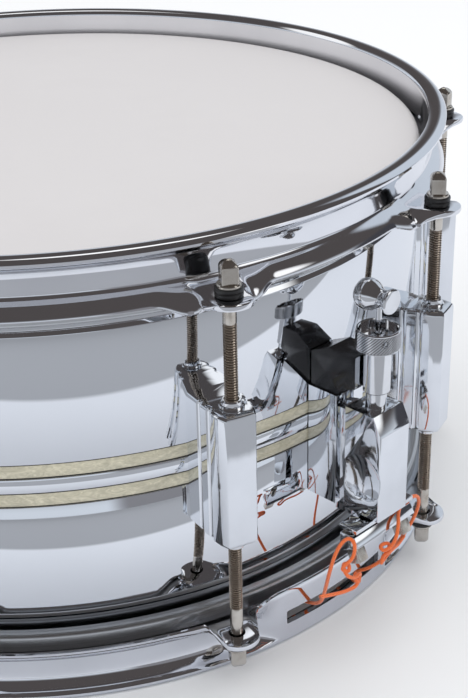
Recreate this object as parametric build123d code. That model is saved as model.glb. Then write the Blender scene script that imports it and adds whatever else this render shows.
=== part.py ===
from build123d import *
import math
import os

os.makedirs("parts", exist_ok=True)

# A 14 x 6.5 inch metal snare drum. Millimetres, +Z up, the snare-side rim stands on z = 0.
# The strainer faces -Y and the butt end faces +Y.

# ---------------------------------------------------------------- driving dimensions
# Shell
shell_radius = 177.0
shell_wall = 1.0
shell_depth = 168.0
shell_step_depth = 1.4
shell_step_length = 22.0
bearing_flange = 2.0
rim_height = 12.0
inlay_depth = 0.8
inlay_height = 6.3
inlay_spacing = 6.3
inlay_shift = -1.0
inlay_gap = 0.05
vent_radius = 4.0
vent_angle = -72.0
vent_drop = 14.0
badge_radius = 15.0
badge_face = 1.2
vent_tube_wall = 1.1
vent_lip = 0.7
vent_flange = 1.5

# Heads
film = 0.3
collar_drop = 2.5
head_ring_width = 5.7
head_ring_height = 8.4
head_ring_clear = 0.9
head_ring_round = 1.2

# Hoops
hoop_wall_clear = 2.5
hoop_wall = 2.3
hoop_lip = 6.3
hoop_skirt_offset = 6.0
hoop_skirt_drop = 23.6
gate_half_angle = 13.0
gate_half_width = 30.0
gate_low = 9.0
gate_high = 15.6
ear_reach = 10.0
ear_half_width = 8.0
ear_root_half_width = 15.0
ear_thickness = 2.5
ear_hole_clear = 0.9

# Tension rods, washers and lugs
lug_count = 10
lug_first_angle = 18.0
rod_reach = 18.5
rod_radius = 2.7
rod_running = 0.05
rod_collar_radius = 4.65
rod_collar = 1.4
key_flat = 6.35
key_height = 8.8
key_dome = 6.2
washer_radius = 5.4
washer_height = 3.9
washer_clear = 0.3
washer_gap = 0.05
rod_in_lug = 14.0
lug_height = 58.0
lug_shift = 1.5
lug_back_half = 10.0
lug_front_half = 7.4
lug_reach = 26.0
lug_round = 1.2
lug_end_round = 0.7
lug_screw_spread = 40.0
gasket = 0.6
gasket_inset = 0.5
nut_wall = 1.15
nut_flange = 0.9
nut_flange_height = 1.6
nut_stand = 3.6
nut_depth = 15.0
nut_seat_clear = 0.1
flute_radius = 1.6
flute_margin = 6.0
flute_set_out = 0.5
flute_distances = (9.5, 16.5)

# Inner mounting screws
screw_radius = 2.4
screw_head_radius = 5.0
screw_head_height = 2.6
screw_hole_clear = 0.3
screw_bite = 8.0
screw_fit = 0.1
screw_end_gap = 0.5
screw_washer = 1.05
screw_washer_gap = 0.25
screw_washer_rim = 1.0
screw_slot = 1.2

# Strainer: reaches from the shell's face, heights from the foot's lower edge
strainer_reach = 28.5
strainer_drop = 34.0
foot_height = 50.0
foot_half = 8.0
foot_screw_rises = (11.0, 54.0)
housing_back = 8.0
housing_front = 10.1
housing_half = 9.0
housing_rise = 1.4
housing_height = 46.6
housing_round = 0.8
housing_chamfer_height = 8.0
housing_chamfer_depth = 4.0
housing_scoop_radius = 26.0
housing_scoop_depth = 2.2
housing_scoop_drop = 6.0
column_depth = 7.5
column_drop = 4.0
column_height = 48.0
bracket_half = 6.5
bracket_rise = 9.0
bracket_height = 12.0
bracket_slope = 6.0
bracket_eye_wall = 2.2
body_shell_gap = 0.3
pocket_half_t = 5.0
pocket_half_r = 6.0
pocket_height = 24.6
piston_radius = 3.4
piston_length = 30.0
piston_end_gap = 1.0
stud_radius = 1.5
stud_length = 10.0
stud_bore_depth = 12.0
sleeve_radius = 5.4
sleeve_neck_radius = 4.2
sleeve_foot_rim = 1.0
sleeve_foot_height = 2.0
sleeve_rise = 7.0
sleeve_height = 18.3
spigot_radius = 4.0
spigot_height = 1.8
knob_radius = 9.0
knob_inner_radius = 7.6
knob_gap = 0.2
knob_floor_rise = 3.5
knob_height = 8.5
knob_edge = 0.4
knob_boss_radius = 3.2
knob_boss_height = 2.6
knob_pin_hole = 1.1
stem_radius = 1.2
stem_clear = 0.4
handle_rise = 12.4
handle_inner_half = 9.6
handle_outer_half = 6.6
handle_bulb = 6.4
handle_waist = 4.1
handle_flare = 5.2
running_fit = 0.05
fine_travel = 0.7

# Snare clamp at the strainer
clamp_half = 18.0
clamp_drop = 5.2
cord_gap = 2.1
clamp_block_height = 1.9
clamp_block_rim = 0.5
clamp_block_nose = 1.2
clamp_inner_reach = 2.0
clamp_outer_reach = 5.3
clamp_nose_reach = 7.7
clamp_nose_drop = 3.9
clamp_heel_drop = 8.8
neck_gap = 0.3
neck_end_gap = 0.5
clamp_screw_spread = 28.0
clamp_screw_radius = 1.9
clamp_screw_fit = 0.1
clamp_screw_shank = 10.4
clamp_screw_square = 5.6
clamp_screw_head = 7.0
clamp_screw_edge = 0.4
clamp_screw_inset = 0.6
clamp_screw_gap = 0.03

# Butt end
butt_reach = 22.0
butt_shoulder_reach = 10.2
butt_shoulder_drop = 14.0
butt_half = 19.0
butt_drop = 40.0
butt_height = 32.0
butt_round = 2.0
butt_screw_rises = (8.0, 22.0)
butt_plate = 3.0
butt_plate_inset = 1.0
butt_plate_low = 2.0
butt_plate_high = 16.0
butt_plate_round = 1.5
butt_clamp_drop = 4.0
butt_clamp_inset = 5.0
butt_clamp_bite = 8.0
butt_screw_head = 5.0
strap_half = 9.0
strap_thickness = 0.8
strap_end = 12.0
strap_bend = 18.0

# Snare wires
wire_count = 20
wire_radius = 0.9
wire_pitch = 2.0
wire_margin = 27.0
end_plate_length = 14.0
end_plate_lap = 4.0
end_plate_half = 21.0
end_plate = 0.8
end_plate_round = 2.0
snare_gap = 0.3

# Snare cords
cord_radius = 1.0
cord_hole_t = 13.0
cord_hole_inset = 3.5
cord_hole_radius = 2.2

# How far a cutting tool runs past what it cuts
past = 4.0

# ---------------------------------------------------------------- sizes that follow
total_height = shell_depth + 2 * rim_height
mid_z = total_height / 2
shell_bottom = rim_height
shell_top = total_height - rim_height
end_radius = shell_radius - shell_step_depth
bearing_radius = end_radius - bearing_flange
film_low_radius = end_radius + head_ring_clear + 0.1
ring_inner = end_radius + head_ring_clear
ring_outer = ring_inner + head_ring_width
wall_inner = film_low_radius + film + hoop_wall_clear
wall_outer = wall_inner + hoop_wall
lip_outer = wall_outer + hoop_lip
skirt_outer = wall_outer + hoop_skirt_offset
skirt_inner = skirt_outer - hoop_wall
ring_drop = hoop_skirt_drop - 3.5
ear_drop = hoop_skirt_drop - 3.4
washer_face = ear_drop - washer_height
collar_face = washer_face - washer_gap
key_face = collar_face - rod_collar
key_tip = key_face - key_height
lug_mid = mid_z + lug_shift
lug_top = lug_mid + lug_height / 2
lug_bottom = lug_mid - lug_height / 2
rod_circle = shell_radius + rod_reach
lug_front = shell_radius + lug_reach
nut_bore = rod_radius + rod_running
nut_radius = nut_bore + nut_wall
nut_seat = nut_radius + nut_seat_clear
lug_back = shell_radius + gasket
lug_angles = [lug_first_angle + 360.0 / lug_count * step for step in range(lug_count)]
snare_z = shell_bottom - film - snare_gap - wire_radius
wires_width = (wire_count - 1) * wire_pitch
inlay_mid = mid_z + inlay_shift
vent_z = shell_top - shell_step_length - vent_drop
strainer_axis = shell_radius + strainer_reach
foot_bottom = mid_z - strainer_drop
foot_top = foot_bottom + foot_height
housing_inner = strainer_axis - housing_back
housing_outer = strainer_axis + housing_front
housing_bottom = foot_bottom + housing_rise
housing_top = housing_bottom + housing_height
column_inner = housing_inner - column_depth
column_bottom = foot_bottom - column_drop
column_top = column_bottom + column_height
bracket_bottom = housing_top + bracket_rise
bracket_top = bracket_bottom + bracket_height
pocket_top = housing_bottom + pocket_height
piston_top = housing_top - piston_end_gap
piston_bottom = piston_top - piston_length
sleeve_bottom = housing_top + sleeve_rise
sleeve_top = sleeve_bottom + sleeve_height
knob_bottom = sleeve_top + knob_gap
knob_floor = knob_bottom + knob_floor_rise
knob_top = knob_bottom + knob_height
handle_height = knob_top + handle_rise
clamp_top = housing_bottom - clamp_drop
clamp_inner = strainer_axis - clamp_inner_reach
clamp_outer = strainer_axis + clamp_outer_reach
clamp_nose = strainer_axis + clamp_nose_reach
clamp_nose_height = clamp_top - clamp_nose_drop
clamp_heel_height = clamp_top - clamp_heel_drop
flange_bottom = clamp_top + cord_gap
neck_top = piston_bottom - fine_travel - neck_end_gap
butt_outer = shell_radius + butt_reach
butt_bottom = mid_z - butt_drop
butt_top = butt_bottom + butt_height
butt_clamp_z = (butt_bottom + butt_top) / 2 - butt_clamp_drop
butt_clamp_t = butt_half - butt_clamp_inset
wire_length = 2 * (shell_radius - wire_margin)
end_plate_y = wire_length / 2 + end_plate_length / 2 - end_plate_lap
end_plate_z = snare_z - wire_radius - end_plate / 2


# ---------------------------------------------------------------- helpers
def place(shape, angle):
    """Turn a shape built with +X outward so that it faces the given angle from -Y."""
    return Rot(0, 0, angle - 90.0) * shape


def turned(outline, radii=None):
    """Revolve a closed outline of (radius, z) points about Z."""
    points = [(radius, 0, z) for radius, z in outline]
    if radii is None:
        edge = Polyline(*points, close=True)
    else:
        edge = FilletPolyline(*points, radius=radii, close=True)
    return revolve(make_face(edge), axis=Axis.Z)


def flipped(outline):
    """Turn an outline given as drops below the upper rim into one at the lower rim, or back."""
    return [(radius, total_height - z) for radius, z in outline]


def rod_at(radius, low, high, x=0.0, y=0.0):
    """A vertical cylinder between two heights."""
    return Pos(x, y, (low + high) / 2) * Cylinder(radius, high - low)


def outward_cylinder(radius, start, end, z, t=0.0):
    """A cylinder along +X between two distances from the drum's axis."""
    return Pos((start + end) / 2, t, z) * Rot(0, 90, 0) * Cylinder(radius, end - start)


def block(inner, outer, half, low, high):
    """A box given by its radial reach, its half width and its heights."""
    centre = ((inner + outer) / 2, 0, (low + high) / 2)
    return Pos(*centre) * Box(outer - inner, 2 * half, high - low)


def side_profile(outline, half):
    """Extrude a closed (radial, z) outline to both sides."""
    points = [(radius, 0, z) for radius, z in outline]
    return extrude(make_face(Polyline(*points, close=True)), amount=half, both=True)


def screw_pit(z):
    """The blind hole that takes the end of an inner mounting screw."""
    end = lug_back + screw_bite + screw_end_gap
    return outward_cylinder(screw_radius + screw_fit, shell_radius - past, end, z)


def tilted_hole(side):
    """One clamp screw's hole through plate and block."""
    (x, z), tilt = clamp_screw_axis()
    hole = Cylinder(clamp_screw_radius + clamp_screw_fit, 10 * past)
    return Pos(x, side * clamp_screw_spread / 2, z) * Rot(0, -tilt, 0) * hole


def save(shape, name):
    """Write one node. Several solids are kept apart in one compound."""
    export_step(shape, f"parts/{name}.step")


def group(shapes):
    """Keep like pieces as separate solids in one node."""
    return Compound(children=[solid for shape in shapes for solid in shape.solids()])


# ---------------------------------------------------------------- shell
def inlay_bands():
    """The two (low, high) bands of the inlay grooves."""
    half = inlay_spacing / 2
    upper = (inlay_mid + half, inlay_mid + half + inlay_height)
    lower = (inlay_mid - half - inlay_height, inlay_mid - half)
    return lower, upper


def shell_outline():
    """Wall section: bearing flanges, stepped ends and two grooves pressed into the wall."""
    step_low = shell_bottom + shell_step_length
    step_high = shell_top - shell_step_length
    outer = [
        (bearing_radius, shell_bottom),
        (end_radius, shell_bottom + bearing_flange),
        (end_radius, step_low - shell_step_depth),
        (shell_radius, step_low),
    ]
    for low, high in inlay_bands():
        outer += [
            (shell_radius, low),
            (shell_radius - inlay_depth, low),
            (shell_radius - inlay_depth, high),
            (shell_radius, high),
        ]
    outer += [
        (shell_radius, step_high),
        (end_radius, step_high + shell_step_depth),
        (end_radius, shell_top - bearing_flange),
        (bearing_radius, shell_top),
    ]
    slant = 0.4 * shell_wall
    inner = [
        (bearing_radius - 0.7 * shell_wall, shell_top - 0.7 * shell_wall),
        (end_radius - shell_wall, shell_top - bearing_flange - slant),
        (end_radius - shell_wall, step_high + shell_step_depth - slant),
        (shell_radius - shell_wall, step_high - slant),
    ]
    for low, high in reversed(inlay_bands()):
        inner += [
            (shell_radius - shell_wall, high + shell_wall),
            (shell_radius - inlay_depth - shell_wall, high + shell_wall),
            (shell_radius - inlay_depth - shell_wall, low - shell_wall),
            (shell_radius - shell_wall, low - shell_wall),
        ]
    inner += [
        (shell_radius - shell_wall, step_low + slant),
        (end_radius - shell_wall, step_low - shell_step_depth + slant),
        (end_radius - shell_wall, shell_bottom + bearing_flange + slant),
        (bearing_radius - 0.7 * shell_wall, shell_bottom + 0.7 * shell_wall),
    ]
    return outer + inner


def screw_places():
    """(angle, z) of every screw that goes through the shell wall."""
    places = []
    for angle in lug_angles:
        places.append((angle, lug_mid + lug_screw_spread / 2))
        places.append((angle, lug_mid - lug_screw_spread / 2))
    places += [(0.0, foot_bottom + rise) for rise in foot_screw_rises]
    places += [(180.0, butt_bottom + rise) for rise in butt_screw_rises]
    return places


def make_shell():
    shell = turned(shell_outline())
    hole = screw_radius + screw_hole_clear
    cuts = [
        place(outward_cylinder(hole, shell_radius - 2 * past, shell_radius + past, z), angle)
        for angle, z in screw_places()
    ]
    vent = outward_cylinder(vent_radius, shell_radius - 2 * past, shell_radius + past, vent_z)
    return shell - cuts - place(vent, vent_angle)


def make_inlay_strips():
    strips = []
    for low, high in inlay_bands():
        inner = shell_radius - inlay_depth + inlay_gap
        outer = shell_radius - inlay_gap
        bottom = low + inlay_gap
        top = high - inlay_gap
        strips.append(turned([(inner, bottom), (outer, bottom), (outer, top), (inner, top)]))
    return group(strips)


def make_vent_badge():
    """Plain badge with the air-vent grommet through the shell."""
    inside = shell_radius - shell_wall
    tube_radius = vent_radius - inlay_gap * 2
    face = shell_radius + badge_face
    tube = outward_cylinder(tube_radius, inside - past, face + vent_lip, vent_z)
    plate = outward_cylinder(badge_radius, inside - past, face, vent_z)
    plate = plate - Cylinder(shell_radius + 2 * inlay_gap, 3 * total_height)
    flange_face = inside - 2 * snare_gap - 0.3
    inner_flange = outward_cylinder(vent_radius + vent_flange, flange_face - 1.1, flange_face, vent_z)
    bore = outward_cylinder(tube_radius - vent_tube_wall, inside - 2 * past, face + past, vent_z)
    return place(plate + tube + inner_flange - bore, vent_angle)


# ---------------------------------------------------------------- heads and hoops
def film_outline():
    """Head film at the upper edge: flat disc, 45 degree shoulder and collar."""
    ring_top = total_height - ring_drop
    shoulder = film_low_radius - 0.4
    return [
        (0.0, shell_top),
        (bearing_radius + 0.05, shell_top),
        (shoulder, shell_top - collar_drop),
        (film_low_radius, ring_top),
        (film_low_radius + film, ring_top),
        (shoulder + film, shell_top - collar_drop + 0.15),
        (bearing_radius + 0.2, shell_top + film),
        (0.0, shell_top + film),
    ]


def head_ring_outline():
    top = total_height - ring_drop
    bottom = top - head_ring_height
    return [(ring_inner, bottom), (ring_outer, bottom), (ring_outer, top), (ring_inner, top)]


def make_head_ring(outline):
    return turned(outline, [head_ring_round] * 4)


def hoop_drops():
    """Hoop section as (radius, distance below the rim), with a corner radius for each point."""
    return [
        ((wall_inner, ring_drop), 0.6),
        ((wall_inner, 0.0), 1.4),
        ((lip_outer, 0.0), 1.6),
        ((lip_outer, 3.2), 1.2),
        ((wall_outer, 3.6), 1.0),
        ((wall_outer, ring_drop - 2.5), 1.2),
        ((skirt_outer, ring_drop - 0.1), 1.6),
        ((skirt_outer, hoop_skirt_drop), 0.8),
        ((skirt_inner, hoop_skirt_drop), 0.8),
        ((skirt_inner, ring_drop + 2.0), 0.6),
        ((ring_outer + 0.4, ring_drop), 0.4),
    ]


def hoop_ring(z_of_drop):
    section = hoop_drops()
    outline = [(radius, z_of_drop(drop)) for (radius, drop), _ in section]
    return turned(outline, [corner for _, corner in section])


def ear_solid(low, high):
    """Ear tab seen from above: wide at the skirt, drawn in to a round nose."""
    root = skirt_inner + 0.6
    waist = rod_circle - 3.0
    nose = rod_circle + ear_reach
    outline = [
        (root, -ear_root_half_width),
        (skirt_outer + 1.5, -ear_root_half_width + 1.5),
        (waist, -ear_half_width - 1.0),
        (nose - 4.0, -ear_half_width + 1.0),
        (nose, -3.5),
        (nose, 3.5),
        (nose - 4.0, ear_half_width - 1.0),
        (waist, ear_half_width + 1.0),
        (skirt_outer + 1.5, ear_root_half_width - 1.5),
        (root, ear_root_half_width),
    ]
    points = [(x, y, low) for x, y in outline]
    edge = FilletPolyline(*points, radius=[0, 1.2, 3.0, 2.5, 2.0, 2.0, 2.5, 3.0, 1.2, 0], close=True)
    return extrude(make_face(edge), amount=high - low)


def make_hoop(upper):
    def z_of_drop(drop):
        return total_height - drop if upper else drop

    hoop = hoop_ring(z_of_drop)
    if not upper:
        hoop = with_snare_gates(hoop)
    tab_faces = sorted([z_of_drop(ear_drop), z_of_drop(ear_drop + ear_thickness)])
    tab = ear_solid(*tab_faces)
    hole = rod_at(rod_radius + ear_hole_clear, tab_faces[0] - 1, tab_faces[1] + 1, rod_circle)
    for angle in lug_angles:
        hoop = hoop + place(tab, angle)
    for angle in lug_angles:
        hoop = hoop - place(hole, angle)
    return hoop


def sector(angle, half_angle, low, high, reach):
    """A wedge about Z that is centred on an angle, for cutting rings into arcs."""
    far = reach / math.cos(math.radians(half_angle))
    spread = math.radians(half_angle)
    points = [
        (0, 0, low),
        (far * math.cos(spread), -far * math.sin(spread), low),
        (far * math.cos(spread), far * math.sin(spread), low),
    ]
    wedge = extrude(make_face(Polyline(*points, close=True)), amount=high - low)
    return place(wedge, angle)


def gate_outline():
    """Section at a snare gate: the wall moves out to the skirt and stands straight."""
    return [
        ((wall_inner, 0.0), 1.4),
        ((lip_outer, 0.0), 1.6),
        ((lip_outer, 3.2), 0.15),
        ((skirt_outer, 3.6), 0.15),
        ((skirt_outer, hoop_skirt_drop + 1.6), 0.8),
        ((skirt_inner, hoop_skirt_drop + 1.6), 0.8),
        ((skirt_inner, 3.9), 0.8),
        ((wall_inner, 3.6), 0.8),
    ]


def with_snare_gates(hoop):
    section = gate_outline()
    panel_ring = turned([point for point, _ in section], [corner for _, corner in section])
    low = -1.0
    high = hoop_skirt_drop + 4.0
    for angle in (0.0, 180.0):
        wedge = sector(angle, gate_half_angle, low, high, lip_outer + 2)
        end_wedge = sector(angle, gate_half_angle + 0.5, low, high, lip_outer + 2) - sector(
            angle, gate_half_angle - 0.3, low, high, lip_outer + 2
        )
        end_wall = turned(
            [
                (wall_inner + 0.6, 2.0),
                (skirt_outer - 0.4, 3.0),
                (skirt_outer - 0.4, hoop_skirt_drop - 1.0),
                (ring_outer + 1.2, ring_drop - 0.6),
                (wall_inner + 0.6, ring_drop - 0.6),
            ]
        )
        hoop = (hoop - wedge) + (panel_ring & wedge) + (end_wall & end_wedge)
        window = block(skirt_inner - past, skirt_outer + past, gate_half_width, gate_low, gate_high)
        hoop = hoop - place(window, angle)
    return hoop


# ---------------------------------------------------------------- rods, washers, nuts, lugs
def make_rod(angle, upper):
    """Key rod: square domed head, collar and shank, standing upright on the rod circle."""

    def z_of_drop(drop):
        return total_height - drop if upper else drop

    sign = 1.0 if upper else -1.0
    end = lug_top - rod_in_lug if upper else lug_bottom + rod_in_lug
    shank = rod_at(rod_radius, *sorted([end, z_of_drop(collar_face)]))
    collar = rod_at(rod_collar_radius, *sorted([z_of_drop(collar_face), z_of_drop(key_face)]))
    key_mid = (z_of_drop(key_face) + z_of_drop(key_tip)) / 2
    key = Pos(0, 0, key_mid) * Box(key_flat, key_flat, key_height)
    key = fillet(key.edges().filter_by(Axis.Z), 0.5)
    dome = Pos(0, 0, z_of_drop(key_tip) - sign * key_dome) * Sphere(key_dome)
    tall = Pos(0, 0, z_of_drop(key_face)) * Box(2 * key_flat, 2 * key_flat, 2 * (key_height - key_dome))
    key = key & (dome + tall)
    rod = Pos(rod_circle, 0, 0) * (shank + collar + key)
    return place(rod, angle)


def make_nylon_washers():
    ring = Cylinder(washer_radius, washer_height) - Cylinder(rod_radius + washer_clear, 2 * washer_height)
    ring = fillet(ring.edges().filter_by(GeomType.CIRCLE).group_by(SortBy.RADIUS)[-1], 0.5)
    mids = (total_height - washer_face - washer_height / 2, washer_face + washer_height / 2)
    return group([place(Pos(rod_circle, 0, z) * ring, angle) for angle in lug_angles for z in mids])


def lug_plan(inset, low, high):
    """Lug seen from above: a wedge that narrows outward."""
    front = lug_front - inset
    back = shell_radius * math.cos(math.asin(lug_back_half / shell_radius)) - 2.0
    outline = [
        (back, -lug_back_half + inset, low),
        (front, -lug_front_half + inset, low),
        (front, lug_front_half - inset, low),
        (back, lug_back_half - inset, low),
    ]
    return extrude(make_face(Polyline(*outline, close=True)), amount=high - low)


def make_lug(angle):
    """Bridge lug: one casting with a nut seat at each end and two flutes on each side."""
    body = lug_plan(0.0, lug_bottom, lug_top)
    body = fillet(body.edges().filter_by(Axis.Z).sort_by(Axis.X)[-2:], lug_round)
    front_edges = body.faces().sort_by(Axis.Z)[-1].edges() + body.faces().sort_by(Axis.Z)[0].edges()
    body = fillet(front_edges, lug_end_round)
    body = body - Cylinder(lug_back, 3 * total_height)
    slope = (lug_back_half - lug_front_half) / (lug_front - shell_radius)
    for distance in flute_distances:
        face_t = lug_back_half - slope * distance
        for side in (-1, 1):
            flute = rod_at(
                flute_radius,
                lug_bottom + flute_margin,
                lug_top - flute_margin,
                shell_radius + distance,
                side * (face_t + flute_set_out),
            )
            body = body - flute
    body = body - rod_at(nut_seat, lug_top - nut_depth - 2, lug_top + 1, rod_circle)
    body = body - rod_at(nut_seat, lug_bottom - 1, lug_bottom + nut_depth + 2, rod_circle)
    for side in (-1, 1):
        body = body - screw_pit(lug_mid + side * lug_screw_spread / 2)
    return place(body, angle)


def make_lug_gaskets():
    plan = lug_plan(gasket_inset, lug_bottom + gasket_inset, lug_top - gasket_inset)
    plan = plan & Cylinder(lug_back, 3 * total_height)
    plan = plan - Cylinder(shell_radius, 3 * total_height)
    for side in (-1, 1):
        z = lug_mid + side * lug_screw_spread / 2
        hole = screw_radius + screw_hole_clear
        plan = plan - outward_cylinder(hole, shell_radius - past, lug_back + past, z)
    return group([place(plan, angle) for angle in lug_angles])


def make_swivel_nuts():
    tube_length = nut_depth + nut_stand
    tube = Pos(0, 0, nut_stand - tube_length / 2) * Cylinder(nut_radius, tube_length)
    flange = Pos(0, 0, nut_flange_height / 2) * Cylinder(nut_radius + nut_flange, nut_flange_height)
    nut = tube + flange - Cylinder(nut_bore, 3 * tube_length)
    nuts = []
    for angle in lug_angles:
        nuts.append(place(Pos(rod_circle, 0, lug_top) * nut, angle))
        nuts.append(place(Pos(rod_circle, 0, lug_bottom) * Rot(180, 0, 0) * nut, angle))
    return group(nuts)


def make_mounting_screws():
    screws = []
    inside = shell_radius - shell_wall
    washer_back = inside - screw_washer_gap
    head_back = washer_back - screw_washer + 0.1
    head_face = head_back - screw_head_height
    for angle, z in screw_places():
        shank = outward_cylinder(screw_radius, head_face + screw_slot, lug_back + screw_bite, z)
        head = outward_cylinder(screw_head_radius, head_face, head_back, z)
        rim = screw_head_radius + screw_washer_rim
        washer = outward_cylinder(rim, washer_back - screw_washer, washer_back, z)
        slot = Pos(head_face, 0, z) * Box(screw_slot, 3 * screw_head_radius, screw_slot)
        screws.append(place(shank + head + washer - slot, angle))
    return group(screws)


# ---------------------------------------------------------------- strainer
def make_strainer_body():
    """One casting: front housing, rear columns, foot on the shell and upper bracket."""
    chamfer = [
        (housing_inner, housing_bottom),
        (housing_outer, housing_bottom),
        (housing_outer, housing_top - housing_chamfer_height),
        (housing_outer - housing_chamfer_depth, housing_top),
        (housing_inner, housing_top),
    ]
    housing = side_profile(chamfer, housing_half)
    housing = fillet(housing.edges().filter_by(Axis.Z).sort_by(Axis.X)[-2:], housing_round)
    for side in (-1, 1):
        scoop = Pos(
            (housing_inner + housing_outer) / 2,
            side * (housing_half + housing_scoop_radius - housing_scoop_depth),
            (housing_bottom + housing_top) / 2 - housing_scoop_drop,
        ) * Sphere(housing_scoop_radius)
        housing = housing - scoop
    column_x = (column_inner + housing_inner) / 2
    column_r = (housing_inner - column_inner) / 2
    columns = [
        rod_at(column_r, column_bottom, column_top, column_x, side * (housing_half - column_r))
        for side in (-1, 1)
    ]
    web = block(column_inner, housing_inner + 1, housing_half - column_r, column_bottom, column_top)
    foot = block(shell_radius - past, column_inner + 2, foot_half, foot_bottom, foot_top)
    arm = side_profile(
        [
            (shell_radius - past, foot_top - bracket_slope),
            (shell_radius - past, bracket_top - bracket_slope),
            (shell_radius + 9, bracket_top),
            (strainer_axis, bracket_top),
            (strainer_axis, bracket_bottom),
            (shell_radius + 16, bracket_bottom - 4),
            (shell_radius + 12, foot_top - bracket_slope),
        ],
        bracket_half,
    )
    eye = rod_at(sleeve_radius + bracket_eye_wall, bracket_bottom, bracket_top, strainer_axis)
    body = housing + columns + web + foot + arm + eye
    body = body - Cylinder(shell_radius + body_shell_gap, 3 * total_height)
    body = body - rod_at(sleeve_radius + screw_fit, bracket_bottom - 6, bracket_top + past, strainer_axis)
    pocket = block(
        strainer_axis - pocket_half_r,
        strainer_axis + pocket_half_r,
        pocket_half_t,
        column_bottom - past,
        pocket_top,
    )
    body = body - pocket
    body = body - rod_at(piston_radius + running_fit, pocket_top - 1, housing_top + past, strainer_axis)
    for rise in foot_screw_rises:
        body = body - screw_pit(foot_bottom + rise)
    return place(body, 0.0)


def make_strainer_sleeve():
    """Fixed sleeve over the housing bore. The adjusting knob turns on its spigot."""
    neck = rod_at(sleeve_neck_radius + sleeve_foot_rim, housing_top, housing_top + sleeve_foot_height)
    lower = rod_at(sleeve_neck_radius, housing_top, sleeve_bottom)
    barrel = rod_at(sleeve_radius, sleeve_bottom, sleeve_top)
    spigot = rod_at(spigot_radius, sleeve_top, sleeve_top + spigot_height)
    bore = rod_at(stem_radius + stem_clear, housing_top - 1, sleeve_top + past)
    sleeve = neck + lower + barrel + spigot - bore
    return place(Pos(strainer_axis, 0, 0) * sleeve, 0.0)


def make_tension_knob():
    """Knurled cup knob with a raised boss on its floor and a cross hole in its wall."""
    cup = rod_at(knob_radius, knob_bottom, knob_top)
    cup = chamfer(cup.edges().filter_by(GeomType.CIRCLE), knob_edge)
    cup = cup - rod_at(knob_inner_radius, knob_floor, knob_top + 1)
    boss = rod_at(knob_boss_radius, knob_floor - 0.5, knob_floor + knob_boss_height)
    cup = cup + boss
    cup = cup - rod_at(spigot_radius + running_fit, knob_bottom - 1, sleeve_top + spigot_height + knob_gap)
    cup = cup - rod_at(stem_radius + stem_clear, knob_bottom - 1, knob_top)
    pin_z = (knob_floor + knob_top) / 2
    cup = cup - outward_cylinder(knob_pin_hole, knob_inner_radius - 2, knob_radius + 2, pin_z)
    return place(Pos(strainer_axis, 0, 0) * cup, 0.0)


def make_throw_handle():
    """Spool handle lying across the top of its stem."""
    stem = rod_at(stem_radius, housing_top, handle_height)
    outline = [
        (-handle_inner_half, 0.0),
        (-handle_inner_half, handle_bulb - 1.8),
        (-handle_inner_half + 1.4, handle_bulb - 0.3),
        (-handle_inner_half + 4.6, handle_bulb),
        (-handle_inner_half + 8.0, handle_bulb - 1.0),
        (handle_outer_half - 5.2, handle_waist),
        (handle_outer_half - 3.0, handle_waist),
        (handle_outer_half - 1.0, handle_flare),
        (handle_outer_half, handle_flare - 0.6),
        (handle_outer_half, 0.0),
    ]
    points = [(x, 0, radius) for x, radius in outline]
    edge = FilletPolyline(*points, radius=[0, 1.2, 1.6, 3.0, 3.0, 1.6, 1.6, 0.5, 0.4, 0], close=True)
    spool = Pos(0, 0, handle_height) * revolve(make_face(edge), axis=Axis.X)
    return place(Pos(strainer_axis, 0, 0) * (stem + spool), 0.0)


def make_strainer_piston():
    """Piston in the housing bore. Its lower hole guides the clamp's adjusting stud."""
    piston = rod_at(piston_radius, piston_bottom, piston_top)
    piston = piston - rod_at(stud_radius + running_fit, piston_bottom - 1, piston_bottom + stud_bore_depth)
    return place(Pos(strainer_axis, 0, 0) * piston, 0.0)


def clamp_screw_axis():
    """Point on the clamp's slanted face and the tilt of the screws, square to that face."""
    rise = clamp_nose_height - clamp_heel_height
    run = clamp_nose - clamp_inner
    tilt = math.degrees(math.atan2(rise, run))
    x = (clamp_nose + clamp_inner) / 2 - clamp_screw_inset
    z = clamp_heel_height + (x - clamp_inner) * rise / run - clamp_screw_gap
    return (x, z), tilt


def make_clamp_block():
    """Flange over the cords, neck in the housing pocket and stud into the piston."""
    flange = block(
        clamp_inner - clamp_block_rim,
        clamp_outer + clamp_block_nose,
        clamp_half,
        flange_bottom,
        flange_bottom + clamp_block_height,
    )
    neck = block(
        strainer_axis - pocket_half_r + neck_gap,
        strainer_axis + pocket_half_r - neck_gap,
        pocket_half_t - neck_gap,
        flange_bottom,
        neck_top,
    )
    stud = rod_at(stud_radius, neck_top - 1, piston_bottom + stud_length, strainer_axis)
    blocked = flange + neck + stud
    for side in (-1, 1):
        blocked = blocked - tilted_hole(side)
    return place(blocked, 0.0)


def make_clamp_plate():
    """Wedge-shaped bar under the cords, with a bright top and a slanted lower face."""
    outline = [
        (clamp_inner, clamp_top),
        (clamp_outer, clamp_top),
        (clamp_nose, clamp_nose_height),
        (clamp_inner, clamp_heel_height),
    ]
    plate = side_profile(outline, clamp_half)
    for side in (-1, 1):
        plate = plate - tilted_hole(side)
    return place(plate, 0.0)


def make_clamp_screws():
    (x, z), tilt = clamp_screw_axis()
    shank = rod_at(clamp_screw_radius, 0.0, clamp_screw_shank)
    head = Pos(0, 0, -clamp_screw_head / 2) * Box(
        clamp_screw_square, clamp_screw_square, clamp_screw_head
    )
    head = chamfer(head.edges(), clamp_screw_edge)
    screw = shank + head
    return group(
        [
            place(Pos(x, side * clamp_screw_spread / 2, z) * Rot(0, -tilt, 0) * screw, 0.0)
            for side in (-1, 1)
        ]
    )


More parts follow.
